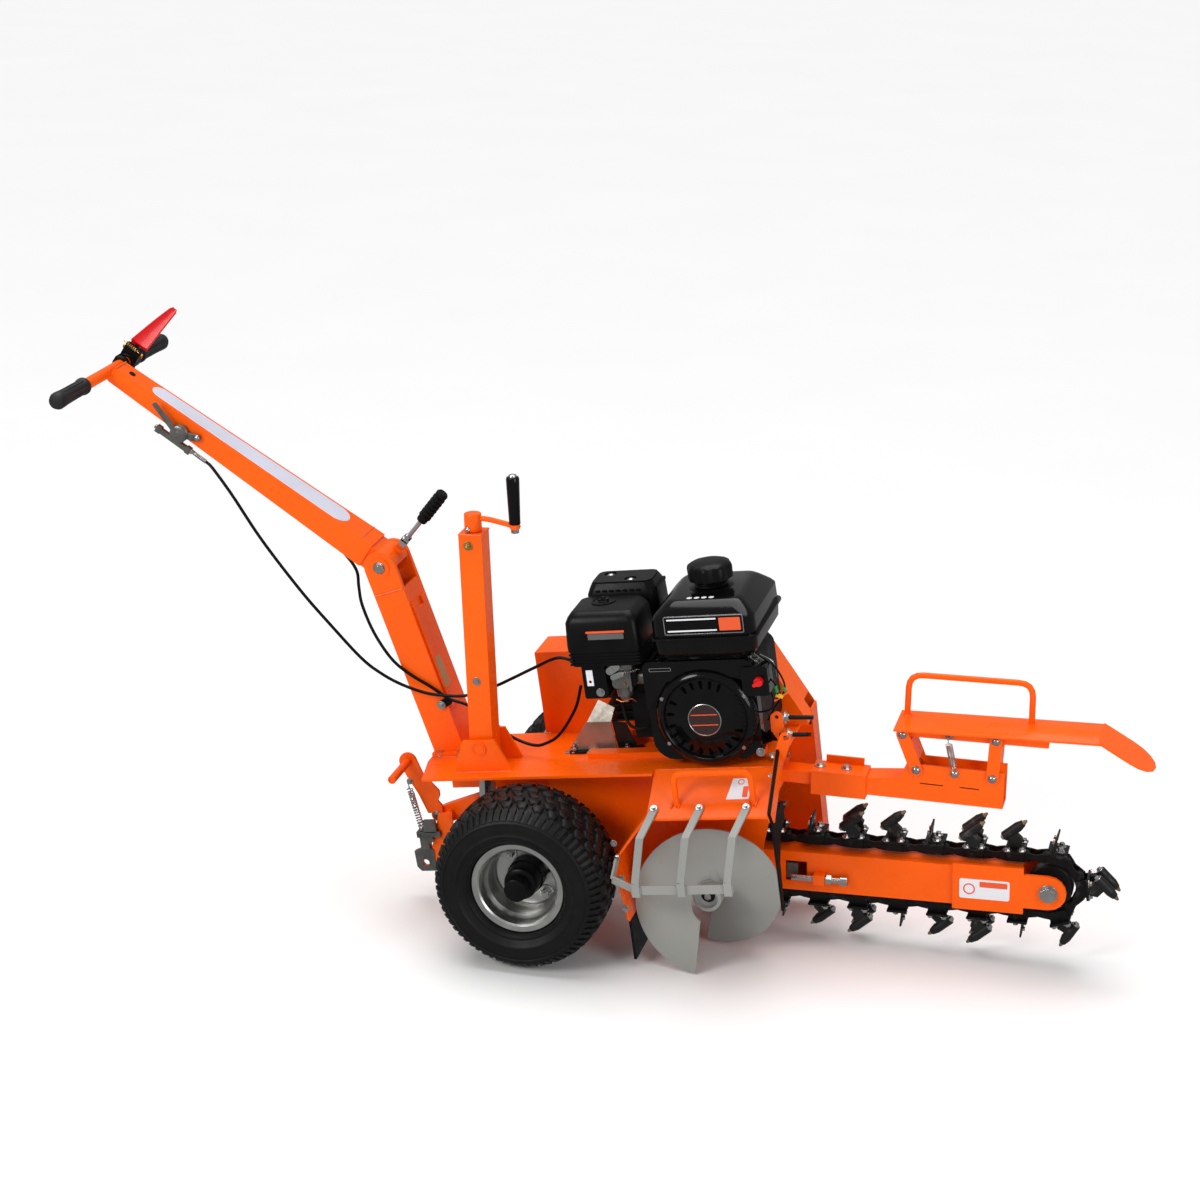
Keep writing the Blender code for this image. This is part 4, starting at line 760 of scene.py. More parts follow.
def make_muffler_cover():
    form = Form()
    form.plate(round_box((0.13, -0.036), (0.257, 0.045), 0.014), 0.3745, 0.43, "Z")
    form.stack([(level, round_box((0.125 + drawn, -0.041 + drawn), (0.262 - drawn, 0.05 - drawn), 0.016, 6))
                for level, drawn in ((0.42, 0.0005), (0.43, 0.0), (0.47, 0.0015), (0.482, 0.006),
                                     (0.49, 0.01))])
    form.plate(round_box((0.137, -0.029), (0.25, 0.038), 0.014), 0.489, 0.4925, "Z",
               [circle(at, 0.0115, 20) for at in MUFFLER_SCREWS])
    for i in range(7):
        form.block((0.146 + i * 0.013, -0.0412, 0.4775), (0.153 + i * 0.013, -0.033, 0.4795))
        form.block((0.255, -0.026 + i * 0.0095, 0.473), (0.2612, -0.021 + i * 0.0095, 0.479))
    form.add("muffler_cover", BLACK_PLASTIC, "chassis", 0.0, angle=30, replaces=["muffler"])
    screws = Form()
    for x, y in MUFFLER_SCREWS:
        screws.bolt((x, y, 0.489), (0, 0, 1), 0.008, 0.0025, domed=True)
    screws.add("muffler_cover_screws", ZINC, "chassis", 0.0003)


def make_recoil():
    x, z = RECOIL_AT
    face = -0.1585
    form = Form()
    form.plate(round_box((0.247, 0.18), (0.4505, 0.374), 0.04), -0.134, -0.1087)
    form.turned([(0.0, 0.0), (0.0942, 0.0), (0.0942, 0.012), (0.093, 0.017), (0.088, 0.0225), (0.082, 0.0268),
                 (0.079, 0.0272), (0.0765, 0.025), (0.075, 0.0205), (0.066, 0.0215), (0.06, 0.024),
                 (0.048, 0.027), (0.042, 0.0295), (0.036, 0.03), (0.0, 0.03)],
                (x, -0.1285, z), (x, -0.2, z), 84)
    form.add("recoil_cover", BLACK_GLOSS, "chassis", 0.0, angle=40, replaces=["recoil_housing"])
    # Dark strips at the vent slots: painted shade standing for the openings in the cover.
    slots = Form()
    for low, high, count in ((205, 335, 9), (60, 120, 5), (150, 190, 3)):
        for i in range(count):
            a = radians(low + (high - low) * i / (count - 1))
            side = Vector((-sin(a), 0, cos(a)))
            out = Vector((cos(a), 0, sin(a)))
            centre = Vector((x, -0.1512, z))
            slots.strut(centre + out * 0.0545, centre + out * 0.0715 + side * 0.003, 0.005, 0.004, side)
    slots.add("recoil_vent_slot_shade", VENT_SLOT_SHADE, "chassis", 0.0012, 2)
    louvres = Form()
    for i in range(9):
        level = z - 0.028 + i * 0.0085
        reach = (0.0935**2 - (level - z)**2) ** 0.5
        louvres.strut((x + reach - 0.03, -0.1335, level), (x + reach - 0.0005, -0.1335, level), 0.002, 0.035,
                      (0, 0, 1))
    louvres.add("recoil_louvres", BLACK_GLOSS, "chassis", 0.0006)
    shroud = Form()
    shroud.plate([(0.247, 0.282), (0.247, 0.366), (0.256, 0.374), (0.438, 0.374), (0.4505, 0.366),
                  (0.4505, 0.3), (0.43, 0.335), (0.3553, 0.356), (0.29, 0.335), (0.264, 0.3)], -0.146, -0.133)
    shroud.plate(round_box((0.43, 0.304), (0.479, 0.36), 0.006), -0.15, -0.113)
    shroud.add("blower_housing", BLACK_GLOSS, "chassis", 0.0018, 3)
    # A thin zinc frame round the housing's slot: a painted highlight along the slot's lip.
    Form().plate(round_box((0.26, 0.356), (0.301, 0.3625), 0.002), -0.1466, -0.1458, "Y",
                 [round_box((0.261, 0.357), (0.3, 0.3615), 0.0015)]).add("housing_slot_highlight", ZINC, "chassis", 0.0)
    Form().turned([(0.0, 0.0), (0.031, 0.0), (0.031, 0.0016), (0.0297, 0.0022), (0.0286, 0.001),
                   (0.0, 0.001)],
                  (x, face, z), (x, -0.2, z), 48).add("recoil_badge_ring", ZINC, "chassis", 0.0)
    Form().turned([(0.0, 0.0), (0.0285, 0.0), (0.0285, 0.0015), (0.0, 0.0015)], (x, face, z), (x, -0.2, z),
                  48).add(
        "recoil_badge", DECAL_DARK, "chassis", 0.0)
    badge = Form()
    for level, half in ((0.009, 0.0245), (-0.0105, 0.024)):
        badge.block((x - half, face - 0.0019, z + level), (x + half, face - 0.0014, z + level + 0.0018))
    badge.add("recoil_badge_lines", DECAL_ORANGE, "chassis", 0.0)
    bolts = Form()
    for a in (28, 152, 212, 318):
        bolts.bolt((x + 0.0865 * cos(radians(a)), -0.1505, z + 0.0865 * sin(radians(a))), (0, -1, 0), 0.007,
                   0.0035,
                   washer=False)
    bolts.bolt((0.445, -0.1336, 0.19), (0, -1, 0), 0.009, 0.005)
    bolts.add("recoil_bolts", ZINC, "chassis", 0.0004)
    governor = Form()
    governor.plate(pill((0.434, 0.37), (0.456, 0.356), 0.004), -0.1235, -0.1215)
    governor.plate(pill((0.446, 0.3745), (0.474, 0.35), 0.003), -0.119, -0.1172)
    governor.rod((0.44, -0.112, 0.3665), (0.44, -0.127, 0.3665), 0.0045, 6)
    governor.helix((0.452, -0.1265, 0.364), (0.474, -0.1265, 0.344), 0.0032, 0.0007, 8)
    governor.tube(smooth_path([(0.462, -0.122, 0.374), (0.484, -0.118, 0.356), (0.486, -0.114, 0.326)],
                              0.005), 0.0009, 6)
    governor.add("governor_linkage", ZINC, "chassis", 0.0003)


def make_switch():
    x, z = SWITCH_AT
    form = Form()
    form.turned([(0.0, -0.1503), (0.0085, -0.1503), (0.0088, -0.156), (0.0078, -0.1605), (0.0, -0.1615)],
                (x, 0, z), (x, 1, z), 28)
    form.plate(pill((x - 0.006, z - 0.003), (x + 0.006, z + 0.003), 0.0032), -0.167, -0.16)
    form.add("red_stop_switch", RED, "switch", 0.0012, replaces=["kill_switch"])
    wires = Form()
    wires.tube(smooth_path([(0.47, -0.128, 0.312), (0.481, -0.138, 0.296), (0.476, -0.141, 0.276),
                            (0.45, -0.12, 0.262)], 0.004), 0.0017, 8)
    wires.tube(smooth_path([(0.462, -0.118, 0.368), (0.486, -0.124, 0.352), (0.5, -0.124, 0.322),
                            (0.498, -0.122, 0.3), (0.476, -0.112, 0.268), (0.458, -0.104, 0.24)], 0.004),
               0.0017, 8)
    wires.tube(smooth_path([(0.478, -0.13, 0.33), (0.489, -0.132, 0.312), (0.486, -0.13, 0.29)], 0.004),
               0.0015, 8)
    wires.add("engine_wires", BLACK_PLASTIC, "chassis", 0.0)
    plug = Form()
    plug.rod((0.486, -0.131, 0.316), (0.488, -0.131, 0.303), 0.0038, 10)
    plug.rod((0.497, -0.124, 0.312), (0.502, -0.124, 0.302), 0.0032, 10)
    plug.add("green_plugs", WIRE_GREEN, "chassis", 0.0005)
    Form().rod((0.484, -0.13, 0.298), (0.497, -0.128, 0.293), 0.004, 10).add(
        "yellow_plug", WIRE_YELLOW, "chassis", 0.0005)
    Form().tube(smooth_path([(0.48, -0.128, 0.286), (0.492, -0.126, 0.292), (0.506, -0.124, 0.3)], 0.004),
                0.0024, 10).add(
        "orange_wire", DECAL_ORANGE, "chassis", 0.0)


def make_block():
    form = Form()
    base = ENGINE_FOOT
    form.plate(round_box((0.252, base + 0.012), (0.45, 0.36), 0.022), -0.105, 0.046)
    form.plate(round_box((0.262, base + 0.02), (0.44, 0.35), 0.022), 0.0455, 0.0495)
    form.block((0.262, -0.1, base), (0.44, -0.06, base + 0.016))
    form.block((0.262, 0.005, base), (0.44, 0.045, base + 0.016))
    for i in range(9):
        level = 0.222 + i * 0.0155
        form.plate(round_box((0.137, -0.039), (0.256, 0.048), 0.012), level, level + 0.0035, "Z")
    form.plate(round_box((0.15, -0.028), (0.256, 0.038), 0.01), 0.218, 0.368, "Z")
    form.block((0.205, -0.1, 0.212), (0.256, -0.036, 0.366))
    form.add("engine_casting", BLACK_CAST, "chassis", 0.0012, 2, replaces=["engine_block"])
    bolts = Form()
    for x, y in ((0.275, -0.075), (0.425, -0.075), (0.275, 0.02), (0.425, 0.02)):
        bolts.bolt((x, y, base + 0.0158), (0, 0, 1), 0.01, 0.006)
    bolts.bolt((0.3, -0.1048, 0.2), (0, -1, 0), 0.012, 0.006)
    bolts.add("engine_feet_bolts", ZINC, "chassis", 0.0004)
    plug = Form()
    plug.rod((0.44, -0.086, 0.196), (0.462, -0.1, 0.208), 0.0095, 16)
    plug.rod((0.46, -0.0985, 0.207), (0.472, -0.1065, 0.2135), 0.0125, 16)
    plug.add("oil_filler_plug", BLACK_PLASTIC, "chassis", 0.001)


def make_carburettor():
    box = Form()
    box.plate(round_box((0.133, 0.308), (0.177, 0.376), 0.004), -0.1455, -0.106)
    box.block((0.129, -0.148, 0.372), (0.23, -0.08, 0.3765))
    box.plate([(0.205, 0.375), (0.23, 0.375), (0.23, 0.33), (0.218, 0.318)], -0.13, -0.09)
    box.add("choke_box", BLACK_PLASTIC, "chassis", 0.0014, 2)
    label = Form()
    label.plate(round_box((0.1405, 0.333), (0.153, 0.3635), 0.0008), -0.1462, -0.145, "Y",
                [circle((0.1468, 0.341), 0.0028, 14)])
    label.block((0.1405, -0.1466, 0.3515), (0.153, -0.1461, 0.3535))
    label.add("choke_label", DECAL_WHITE, "chassis", 0.0)
    form = Form()
    form.plate(round_box((0.184, 0.322), (0.216, 0.362), 0.008), -0.135, -0.08)
    form.plate(round_box((0.181, 0.358), (0.226, 0.373), 0.004), -0.139, -0.085)
    form.rod((0.2, -0.112, 0.326), (0.2, -0.112, 0.302), 0.0175, 24, 0.015)
    form.rod((0.2, -0.112, 0.3025), (0.2, -0.112, 0.294), 0.0115, 20, 0.009)
    form.rod((0.214, -0.11, 0.336), (0.25, -0.11, 0.336), 0.015, 24)
    form.plate(round_box((0.215, 0.314), (0.22, 0.358), 0.005), -0.134, -0.086)
    form.add("carburettor_casting", CAST_GREY, "chassis", 0.0012, 2,
             replaces=["carburettor"])
    brass = Form()
    brass.rod((0.2, -0.112, 0.2945), (0.2, -0.112, 0.2885), 0.0055, 6)
    brass.rod((0.192, -0.1345, 0.346), (0.192, -0.142, 0.346), 0.003, 12)
    brass.rod((0.208, -0.1345, 0.332), (0.208, -0.14, 0.332), 0.0026, 12)
    brass.tube(smooth_path([(0.186, -0.13, 0.3), (0.2, -0.134, 0.296), (0.214, -0.13, 0.3),
                            (0.222, -0.124, 0.292)], 0.004), 0.0014, 8)
    brass.add("carburettor_jets", COPPER, "chassis", 0.0003)
    levers = Form()
    levers.plate(pill((0.186, 0.36), (0.199, 0.368), 0.007), -0.147, -0.144)
    levers.plate(pill((0.19, 0.347), (0.206, 0.353), 0.005), -0.1445, -0.142)
    levers.rod((0.19, -0.136, 0.362), (0.19, -0.149, 0.362), 0.0042, 14)
    levers.rod((0.2, -0.134, 0.35), (0.2, -0.146, 0.35), 0.0034, 12)
    levers.helix((0.206, -0.1425, 0.354), (0.236, -0.1425, 0.36), 0.003, 0.0006, 8)
    levers.bolt((0.1635, -0.1456, 0.32), (0, -1, 0), 0.0085, 0.0045)
    levers.add("carburettor_levers", ZINC, "chassis", 0.0003)
    tube = Form()
    tube.tube(smooth_path([(0.208, -0.095, 0.306), (0.232, -0.1, 0.3), (0.244, -0.112, 0.32),
                           (0.262, -0.112, 0.36), (0.285, -0.11, 0.3765)], 0.004), 0.0033, 12)
    tube.tube(smooth_path([(0.256, -0.1, 0.25), (0.228, -0.12, 0.238), (0.196, -0.11, 0.246),
                           (0.18, -0.08, 0.3)], 0.004), 0.003, 12)
    tube.add("fuel_hose", RUBBER, "chassis", 0.0)


def make_heat_shield():
    """The folded sheet left of the engine: an upright face, a leaning facet and a foot on rubber pads."""
    foot, face = 0.1665, -0.0445
    form = Form()
    form.plate([(0.05, foot), (0.148, foot), (0.142, 0.2245), (0.094, 0.2245)], face - 0.0009, face + 0.0009)
    form.block((0.046, -0.0565, foot), (0.15, face, foot + 0.0018))
    lean = Matrix.Translation((0, face, 0.224)) @ Matrix.Rotation(radians(-24), 4, "X")
    form.plate([(0.0945, -0.0005), (0.1425, -0.0005), (0.15, 0.026), (0.118, 0.042)], -0.0009, 0.0009, "Y",
               matrix=lean)
    form.add("heat_shield_sheet", SHEET_METAL, "chassis", 0.0005, 2,
             replaces=["heat_shield"])
    # A black plate to the right of the sheet: painted shade for the shield's shaded right part.
    Form().plate([(0.1485, foot), (0.188, foot), (0.17, 0.22), (0.1425, 0.2245)], face + 0.003,
                 face + 0.0045).add(
        "shield_side_shade_plate", BLACK_FRAME, "chassis", 0.0006)
    pads = Form()
    for low, high in ((0.056, 0.09), (0.15, 0.196)):
        pads.plate(round_box((low, -0.059), (high, -0.03), 0.004), 0.166, 0.17, "Z")
    pads.add("rubber_pads", RUBBER, "chassis", 0.001)
    bolts = Form()
    for x in (0.064, 0.169):
        bolts.bolt((x, -0.05, foot + 0.0019), (0, 0, 1), 0.01, 0.006)
        bolts.rod((x, -0.05, foot), (x, -0.05, foot + 0.015), 0.0032, 14)
    bolts.add("heat_shield_bolts", ZINC, "chassis", 0.0004)


# Deck, guards and cage ---------------------------------------------------------------------------

DECK_TOP = 0.166
CAGE_BARS = (0.259, 0.344, 0.4305)


def weld_seam(form, start, end, radius=0.0022):
    """A bead of overlapping ripples between two points."""
    start, end = Vector(start), Vector(end)
    count = max(3, round((end - start).length / (radius * 1.7)))
    path = [start + (end - start) * i / count for i in range(count + 1)]
    radii = [radius * (0.86 if i % 2 else 1.08) for i in range(count + 1)]
    form.tube(path, radius, 8, radii)


def make_chassis_details():
    top = DECK_TOP
    bolts = Form()
    for x, y in ((-0.02, 0.062), (-0.02, 0.1), (0.06, 0.118), (0.2, -0.072)):
        bolts.bolt((x, y, top), (0, 0, 1), 0.01, 0.006)
    for x in (-0.205, -0.165):
        for y in (-0.048, 0.048):
            bolts.bolt((x, y, top + 0.002), (0, 0, 1), 0.011, 0.006)
    for y in (-0.034, 0.034):
        bolts.bolt((0.4495, y, 0.118), (1, 0, 0), 0.01, 0.006)
    for y, level in ((-0.13, 0.178), (-0.17, 0.1525), (-0.222, 0.1195)):
        bolts.bolt((0.4702, y, level - 0.01), (1, 0, 0), 0.008, 0.004)
        bolts.bolt((0.464, y + 0.01, level - 0.0005), (0.05, -0.5, 0.85), 0.008, 0.004)
    for y, level in ((-0.232, 0.06), (-0.232, -0.01), (-0.232, -0.07)):
        bolts.bolt((0.176 if level > 0 else 0.181, -0.2352, level), (0, -1, 0), 0.007, 0.0035)
    bolts.add("deck_bolts", ZINC, "chassis", 0.0004)

    beads = Form()
    for y in (-0.135, -0.06):
        weld_seam(beads, (-0.146, y, top), (-0.035, y, top))
    weld_seam(beads, (-0.2195, -0.056, top + 0.0005), (-0.14, -0.056, top + 0.0005), 0.0018)
    weld_seam(beads, (0.25, -0.146, 0.1655), (0.468, -0.146, 0.1655), 0.002)
    for x in (0.2915, 0.3045, 0.4345, 0.4475):
        weld_seam(beads, (x - 0.002, -0.2225, 0.1215), (x + 0.001, -0.2075, 0.1305), 0.002)
    beads.add("weld_beads", WELD, "chassis", 0.0)

    strips = Form()
    for u in (0.4708, 0.479):
        strips.strut((u, -0.11, 0.184), (u, -0.24, 0.104), 0.0026, 0.026, (1, 0, 0))
    strips.plate(pill((0.476, 0.246), (0.474, 0.196), 0.012), -0.112, -0.107, "Y",
                 [circle((0.476, 0.248), 0.004, 12)])
    strips.plate(pill((0.492, 0.214), (0.478, 0.18), 0.011), -0.13, -0.125, "Y",
                 [circle((0.492, 0.214), 0.004, 12)])
    strips.add("curtain_strips", ORANGE, "chassis", 0.0006)
    Form().strut((0.475, -0.113, 0.185), (0.475, -0.242, 0.1055), 0.0052, 0.031, (1, 0, 0)).add(
        "curtain_seam", RUBBER, "chassis", 0.0006)
    studs = Form()
    for start, end in (((0.476, -0.1, 0.243), (0.541, -0.1, 0.241)),
                       ((0.48, -0.12, 0.217), (0.531, -0.12, 0.216))):
        studs.rod(start, end, 0.004, 12)
        turns = 14
        span = Vector(end) - Vector(start)
        for i in range(turns):
            at = 0.02 + i * 0.0028
            studs.turned([(0.0038, at), (0.0044, at + 0.0007), (0.0038, at + 0.0014)], start,
                         Vector(start) + span, 14)
    studs.add("mount_studs", BLACK_FRAME, "chassis", 0.0)
    nuts = Form()
    for start, along in (((0.488, -0.1, 0.2426), (1, 0, -0.03)), ((0.496, -0.12, 0.2167), (1, 0, -0.02))):
        nuts.bolt(start, along, 0.0125, 0.0065)
    nuts.add("mount_nuts", ZINC, "chassis", 0.0004)

    label = Form()
    slope = Matrix.Translation((0, -0.1935, 0.1377)) @ Matrix.Rotation(radians(31.2), 4, "X")
    label.plate([(0.389, -0.016), (0.431, -0.016), (0.431, 0.03), (0.397, 0.03)], 0.0, 0.0006, "Z",
                matrix=slope)
    label.add("guard_label", DECAL_WHITE, "chassis", 0.0)
    label = Form()
    label.plate(round_box((0.418, -0.012), (0.428, 0.012), 0.002), 0.0004, 0.0009, "Z", matrix=slope)
    label.plate(circle((0.413, 0.022), 0.006, 24), 0.0004, 0.0009, "Z", [circle((0.413, 0.022), 0.0045, 24)],
                slope)
    label.add("guard_label_band", DECAL_ORANGE, "chassis", 0.0)


def make_cage():
    """Three bent flat bars, a cross bar behind their feet, and the bar back to the wall."""
    form = Form()
    for x in CAGE_BARS:
        top, bend, foot = (x, -0.225, 0.1215), (x - 0.018, -0.283, 0.0884), (x - 0.037, -0.2865, 0.002)
        form.strut(top, bend, 0.014, 0.004, (1, 0, 0)).strut(bend, foot, 0.014, 0.004, (1, 0, 0))
        form.rod((x - 0.025, -0.283, 0.0884), (x - 0.011, -0.283, 0.0884), 0.0021, 10)
        form.strut(foot, (x - 0.037, -0.288, -0.0235), 0.015, 0.0045, (1, 0, 0))
        weld_seam(form, (x - 0.0455, -0.2868, -0.018), (x - 0.0455, -0.2868, -0.004), 0.0014)
        weld_seam(form, (x - 0.0285, -0.2868, -0.018), (x - 0.0285, -0.2868, -0.004), 0.0014)
    form.strut((0.213, -0.2835, -0.012), (0.401, -0.2835, -0.012), 0.004, 0.017)
    form.strut((0.222, -0.2845, -0.0115), (0.1745, -0.268, 0.003), 0.014, 0.004, (0, 0, 1))
    form.strut((0.1748, -0.2685, 0.0025), (0.179, -0.2375, 0.03), 0.0135, 0.004, (0, 0, 1))
    form.add("cage_bars", GREY_PAINT, "chassis", 0.0007, 2, replaces=["auger_cage"])
    bolts = Form()
    for x in CAGE_BARS:
        bolts.bolt((x - 0.001, -0.2265, 0.1235), (0, -0.5, 0.86), 0.0072, 0.004)
    bolts.bolt((0.179, -0.2385, 0.033), (-0.3, -1, 0.3), 0.007, 0.004)
    bolts.add("cage_bolts", ZINC, "chassis", 0.0004)


def make_auger():
    """A smooth flight of one turn that overhangs its open tube, with its weld and clamp bolts."""
    near, far, mouth = -0.236, -0.106, -0.186
    Form(BOOM).turned([(0.0205, mouth), (0.0262, mouth), (0.027, mouth + 0.001), (0.027, far), (0.013, far),
                       (0.013, mouth + 0.012), (0.0205, mouth + 0.01)], (0, 0, 0), (0, 1, 0), 40).add(
        "auger_tube", GREY_PAINT, "head", 0.0)
    # The shaft is black steel paint, kept dark so its end also paints the shade inside the open tube.
    Form(BOOM).turned([(0.0, mouth + 0.01), (0.0116, mouth + 0.01), (0.0124, mouth + 0.011), (0.0124, 0.1392),
                       (0.0116, 0.14), (0.0, 0.14)], (0, 0, 0), (0, 1, 0), 32).add(
        "auger_shaft", BLACK_FRAME, "head", 0.0, replaces=["head_shaft"])
    form = Form(BOOM)
    steps, thick = 100, 0.004
    pitch = far - near - 0.006 - thick + 0.012
    angles = [-pi / 2 - radians(6) - radians(364) * i / steps for i in range(steps + 1)]
    rings = []
    for i, angle in enumerate(angles):
        y = near + 0.006 + pitch * i / steps
        reach = 0.134 - 0.007 * i / steps
        corners = [(0.0262, y), (reach - 0.0008, y), (reach, y + 0.0008), (reach, y + thick - 0.0008),
                   (reach - 0.0008, y + thick), (0.0262, y + thick)]
        rings.append([(r * cos(angle), level, r * sin(angle)) for r, level in corners])
    form.skin(rings)
    form.add("auger_flight", GREY_PAINT, "head", 0.0, angle=30, replaces=["auger"])
    Form(BOOM).turned([(0.0, 0.02), (0.015, 0.02), (0.0158, 0.03), (0.015, 0.09), (0.0, 0.09)],
                      (0.003, -0.15, 0), (-0.001, -0.15, 1), 32).add(
        "auger_rib", GREY_PAINT, "head", 0.0, angle=30)
    bolts = Form(BOOM)
    bolts.bolt((0.026, mouth + 0.024, 0.006), (1, 0, 0.2), 0.01, 0.006)
    bolts.bolt((0, mouth + 0.0125, 0), (0, -1, 0), 0.012, 0.005)
    bolts.add("auger_bolt", ZINC, "head", 0.0004)
    Form(BOOM).tube([(0.0275 * cos(angles[i]), near + 0.004 + pitch * i / steps, 0.0275 * sin(angles[i]))
                     for i in range(38, steps + 1, 2)], 0.002, 8).add("auger_weld", GREY_PAINT, "head", 0.0)


# Running gear ------------------------------------------------------------------------------------

def make_pedal():
    top = (-0.2885, 0.1425)
    form = Form()
    outline = arc(top, 0.0178, 190, 20, 14) + [
        (-0.2617, 0.1144), (-0.2456, 0.0944), (-0.2345, 0.0801), (-0.2345, 0.07), (-0.24, 0.0591),
                                               (-0.2335, 0.05)]
    outline += arc((-0.2453, 0.0294), 0.0125, 20, -200, 14) + [(-0.264, 0.034), (-0.278, 0.0756),
                                                               (-0.2945, 0.1097)]
    form.plate(outline, -0.0145, -0.0085, "Y", [circle((-0.2453, 0.0294), 0.0053)])
    form.turned([(0.0055, -0.108), (0.0072, -0.108), (0.008, -0.1072), (0.008, -0.0095), (0.0055, -0.0095)],
                (top[0], 0, top[1]), (top[0], 1, top[1]), 28)
    form.rod((top[0], -0.106, top[1]), (top[0], -0.012, top[1]), 0.006, 24)
    weld_seam(form, (top[0] - 0.008, -0.0158, top[1] + 0.0035), (top[0] + 0.008, -0.0158, top[1] + 0.0035),
              0.0018)
    form.add("pedal_arm", ORANGE, "pedal", 0.001, replaces=["foot_pedal"])
    pin = Form()
    pin.bolt((-0.2453, -0.0147, 0.0294), (0, -1, 0), 0.01, 0.005, shank=0.02)
    pin.bolt((-0.2905, -0.0147, 0.102), (0, -1, 0), 0.007, 0.007)
    pin.add("pedal_pivot_bolt", ZINC, "pedal", 0.0004)
    springs = Form()
    springs.helix((-0.291, -0.021, 0.089), (-0.2795, -0.021, 0.006), 0.0052, 0.0012, 15)
    springs.helix((-0.284, -0.0335, 0.085), (-0.2735, -0.0335, 0.008), 0.0052, 0.0012, 15)
    springs.add("pedal_coils", ZINC, "axle_frame", 0.0, replaces=["pedal_spring"])
    hitch = Form()
    hitch.plate([(-0.262, -0.03), (-0.256, -0.036), (-0.258, -0.0795), (-0.2885, -0.0795), (-0.2965, -0.07),
                 (-0.2975, -0.0374), (-0.285, -0.033)], -0.0345, -0.025, "Y",
                [circle((-0.277, -0.062), 0.007)])
    hitch.plate(round_box((-0.268, 0.004), (-0.242, 0.03), 0.003), -0.042, -0.035)
    hitch.block((-0.284, -0.042, -0.006), (-0.236, -0.018, 0.006))
    hitch.block((-0.28, -0.04, -0.032), (-0.262, -0.025, -0.004))
    hitch.rod((-0.2785, -0.044, -0.002), (-0.2785, -0.017, -0.002), 0.0028, 12)
    hitch.rod((-0.256, -0.044, -0.01), (-0.256, -0.017, -0.01), 0.006, 16)
    hitch.add("hitch_flange", CAST_GREY, "axle_frame", 0.001)


# Jack --------------------------------------------------------------------------------------------

def make_jack_details():
    beads = Form(JACK)
    for side in (-1, 1):
        weld_seam(beads, (-0.0225, side * 0.0225, 0.414), (0.0225, side * 0.0225, 0.414), 0.0016)
    weld_seam(beads, (0.0225, -0.0225, 0.414), (0.0225, 0.0225, 0.414), 0.0016)
    beads.add("jack_cap_weld", WELD, "chassis", 0.0)
    plug = Form(JACK)
    plug.bolt((-0.004, -0.0225, 0.393), (0, -1, 0), 0.0095, 0.006)
    plug.rod((-0.004, -0.028, 0.393), (-0.004, -0.034, 0.3945), 0.0024, 12)
    plug.add("grease_nipple", YELLOW_ZINC, "chassis", 0.0005)
    Form(JACK).bolt((-0.002, -0.0225, 0.129), (0, -1, 0), 0.0085, 0.005).add(
        "post_bolt", ZINC, "chassis", 0.0004)
    Form(JACK).turned([(0.0, -0.0385), (0.008, -0.0385), (0.0082, -0.0392), (0.0098, -0.0392),
                       (0.01, -0.0385),
                       (0.0116, -0.0385), (0.0118, -0.0398), (0.0132, -0.0398),
                        (0.0134, -0.0365), (0.0, -0.0365)],
                      (0, 0, 0), (0, 1, 0), 36).add("jack_trunnion_cap", ORANGE, "chassis", 0.0)
    head = POST_TOP + 0.0065
    Form(JACK).bolt((-0.006, -0.0155, head - 0.0005), (-0.3, -1, 0), 0.007, 0.004, washer=False,
                    domed=True).add(
        "crank_set_screw", ZINC, "crank", 0.0003)
    reach, low, high = 0.08, head + 0.006, head + 0.0185
    arm = Form(JACK)
    arm.turned([(0.0, head - 0.005), (0.0155, head - 0.005), (0.016, head - 0.004), (0.016, head + 0.0262),
                (0.015, head + 0.0275), (0.0, head + 0.0275)], (0, 0, 0), (0, 0, 1), 36)
    path = [(0.01, 0, high), (0.03, 0, high - 0.0015), (0.052, 0, high - 0.006),
            (reach - 0.006, 0, low + 0.0015)]
    arm.tube(smooth_path(path, 0.006), 0.005, 16, None)
    arm.turned([(0.0045, low - 0.004), (0.0095, low - 0.004), (0.0105, low), (0.0095, low + 0.004),
                (0.0045, low + 0.004)],
               (reach, 0, 0), (reach, 0, 1), 28)
    arm.add("crank_casting", ORANGE, "crank", 0.0, replaces=["crank_arm"])
    pin = Form(JACK)
    pin.rod((reach, 0, low - 0.008), (reach, 0, low + 0.096), 0.0042, 16)
    pin.rod((reach, 0, low - 0.0125), (reach, 0, low - 0.0042), 0.0078, 6)
    pin.turned([(0.0, low + 0.0945), (0.008, low + 0.0945), (0.007, low + 0.0975), (0.003, low + 0.099),
                (0.0, low + 0.099)], (reach, 0, 0), (reach, 0, 1), 24)
    pin.add("crank_handle_bolt", ZINC, "crank", 0.0004)
    Form(JACK).turned([(0.0046, low + 0.0045), (0.0098, low + 0.0045), (0.0108, low + 0.006),
                       (0.0104, low + 0.01),
                       (0.0112, low + 0.043), (0.0121, low + 0.08), (0.0122, low + 0.0905),
                        (0.011, low + 0.0935),
                       (0.0085, low + 0.0943), (0.0046, low + 0.0943)], (reach, 0, 0), (reach, 0, 1), 36).add(
        "crank_grip_moulding", BLACK_GLOSS, "crank_handle", 0.0, angle=50,
             replaces=["crank_grip"])


# Handle ------------------------------------------------------------------------------------------

BAR_AT = (-0.6395, -0.0156)


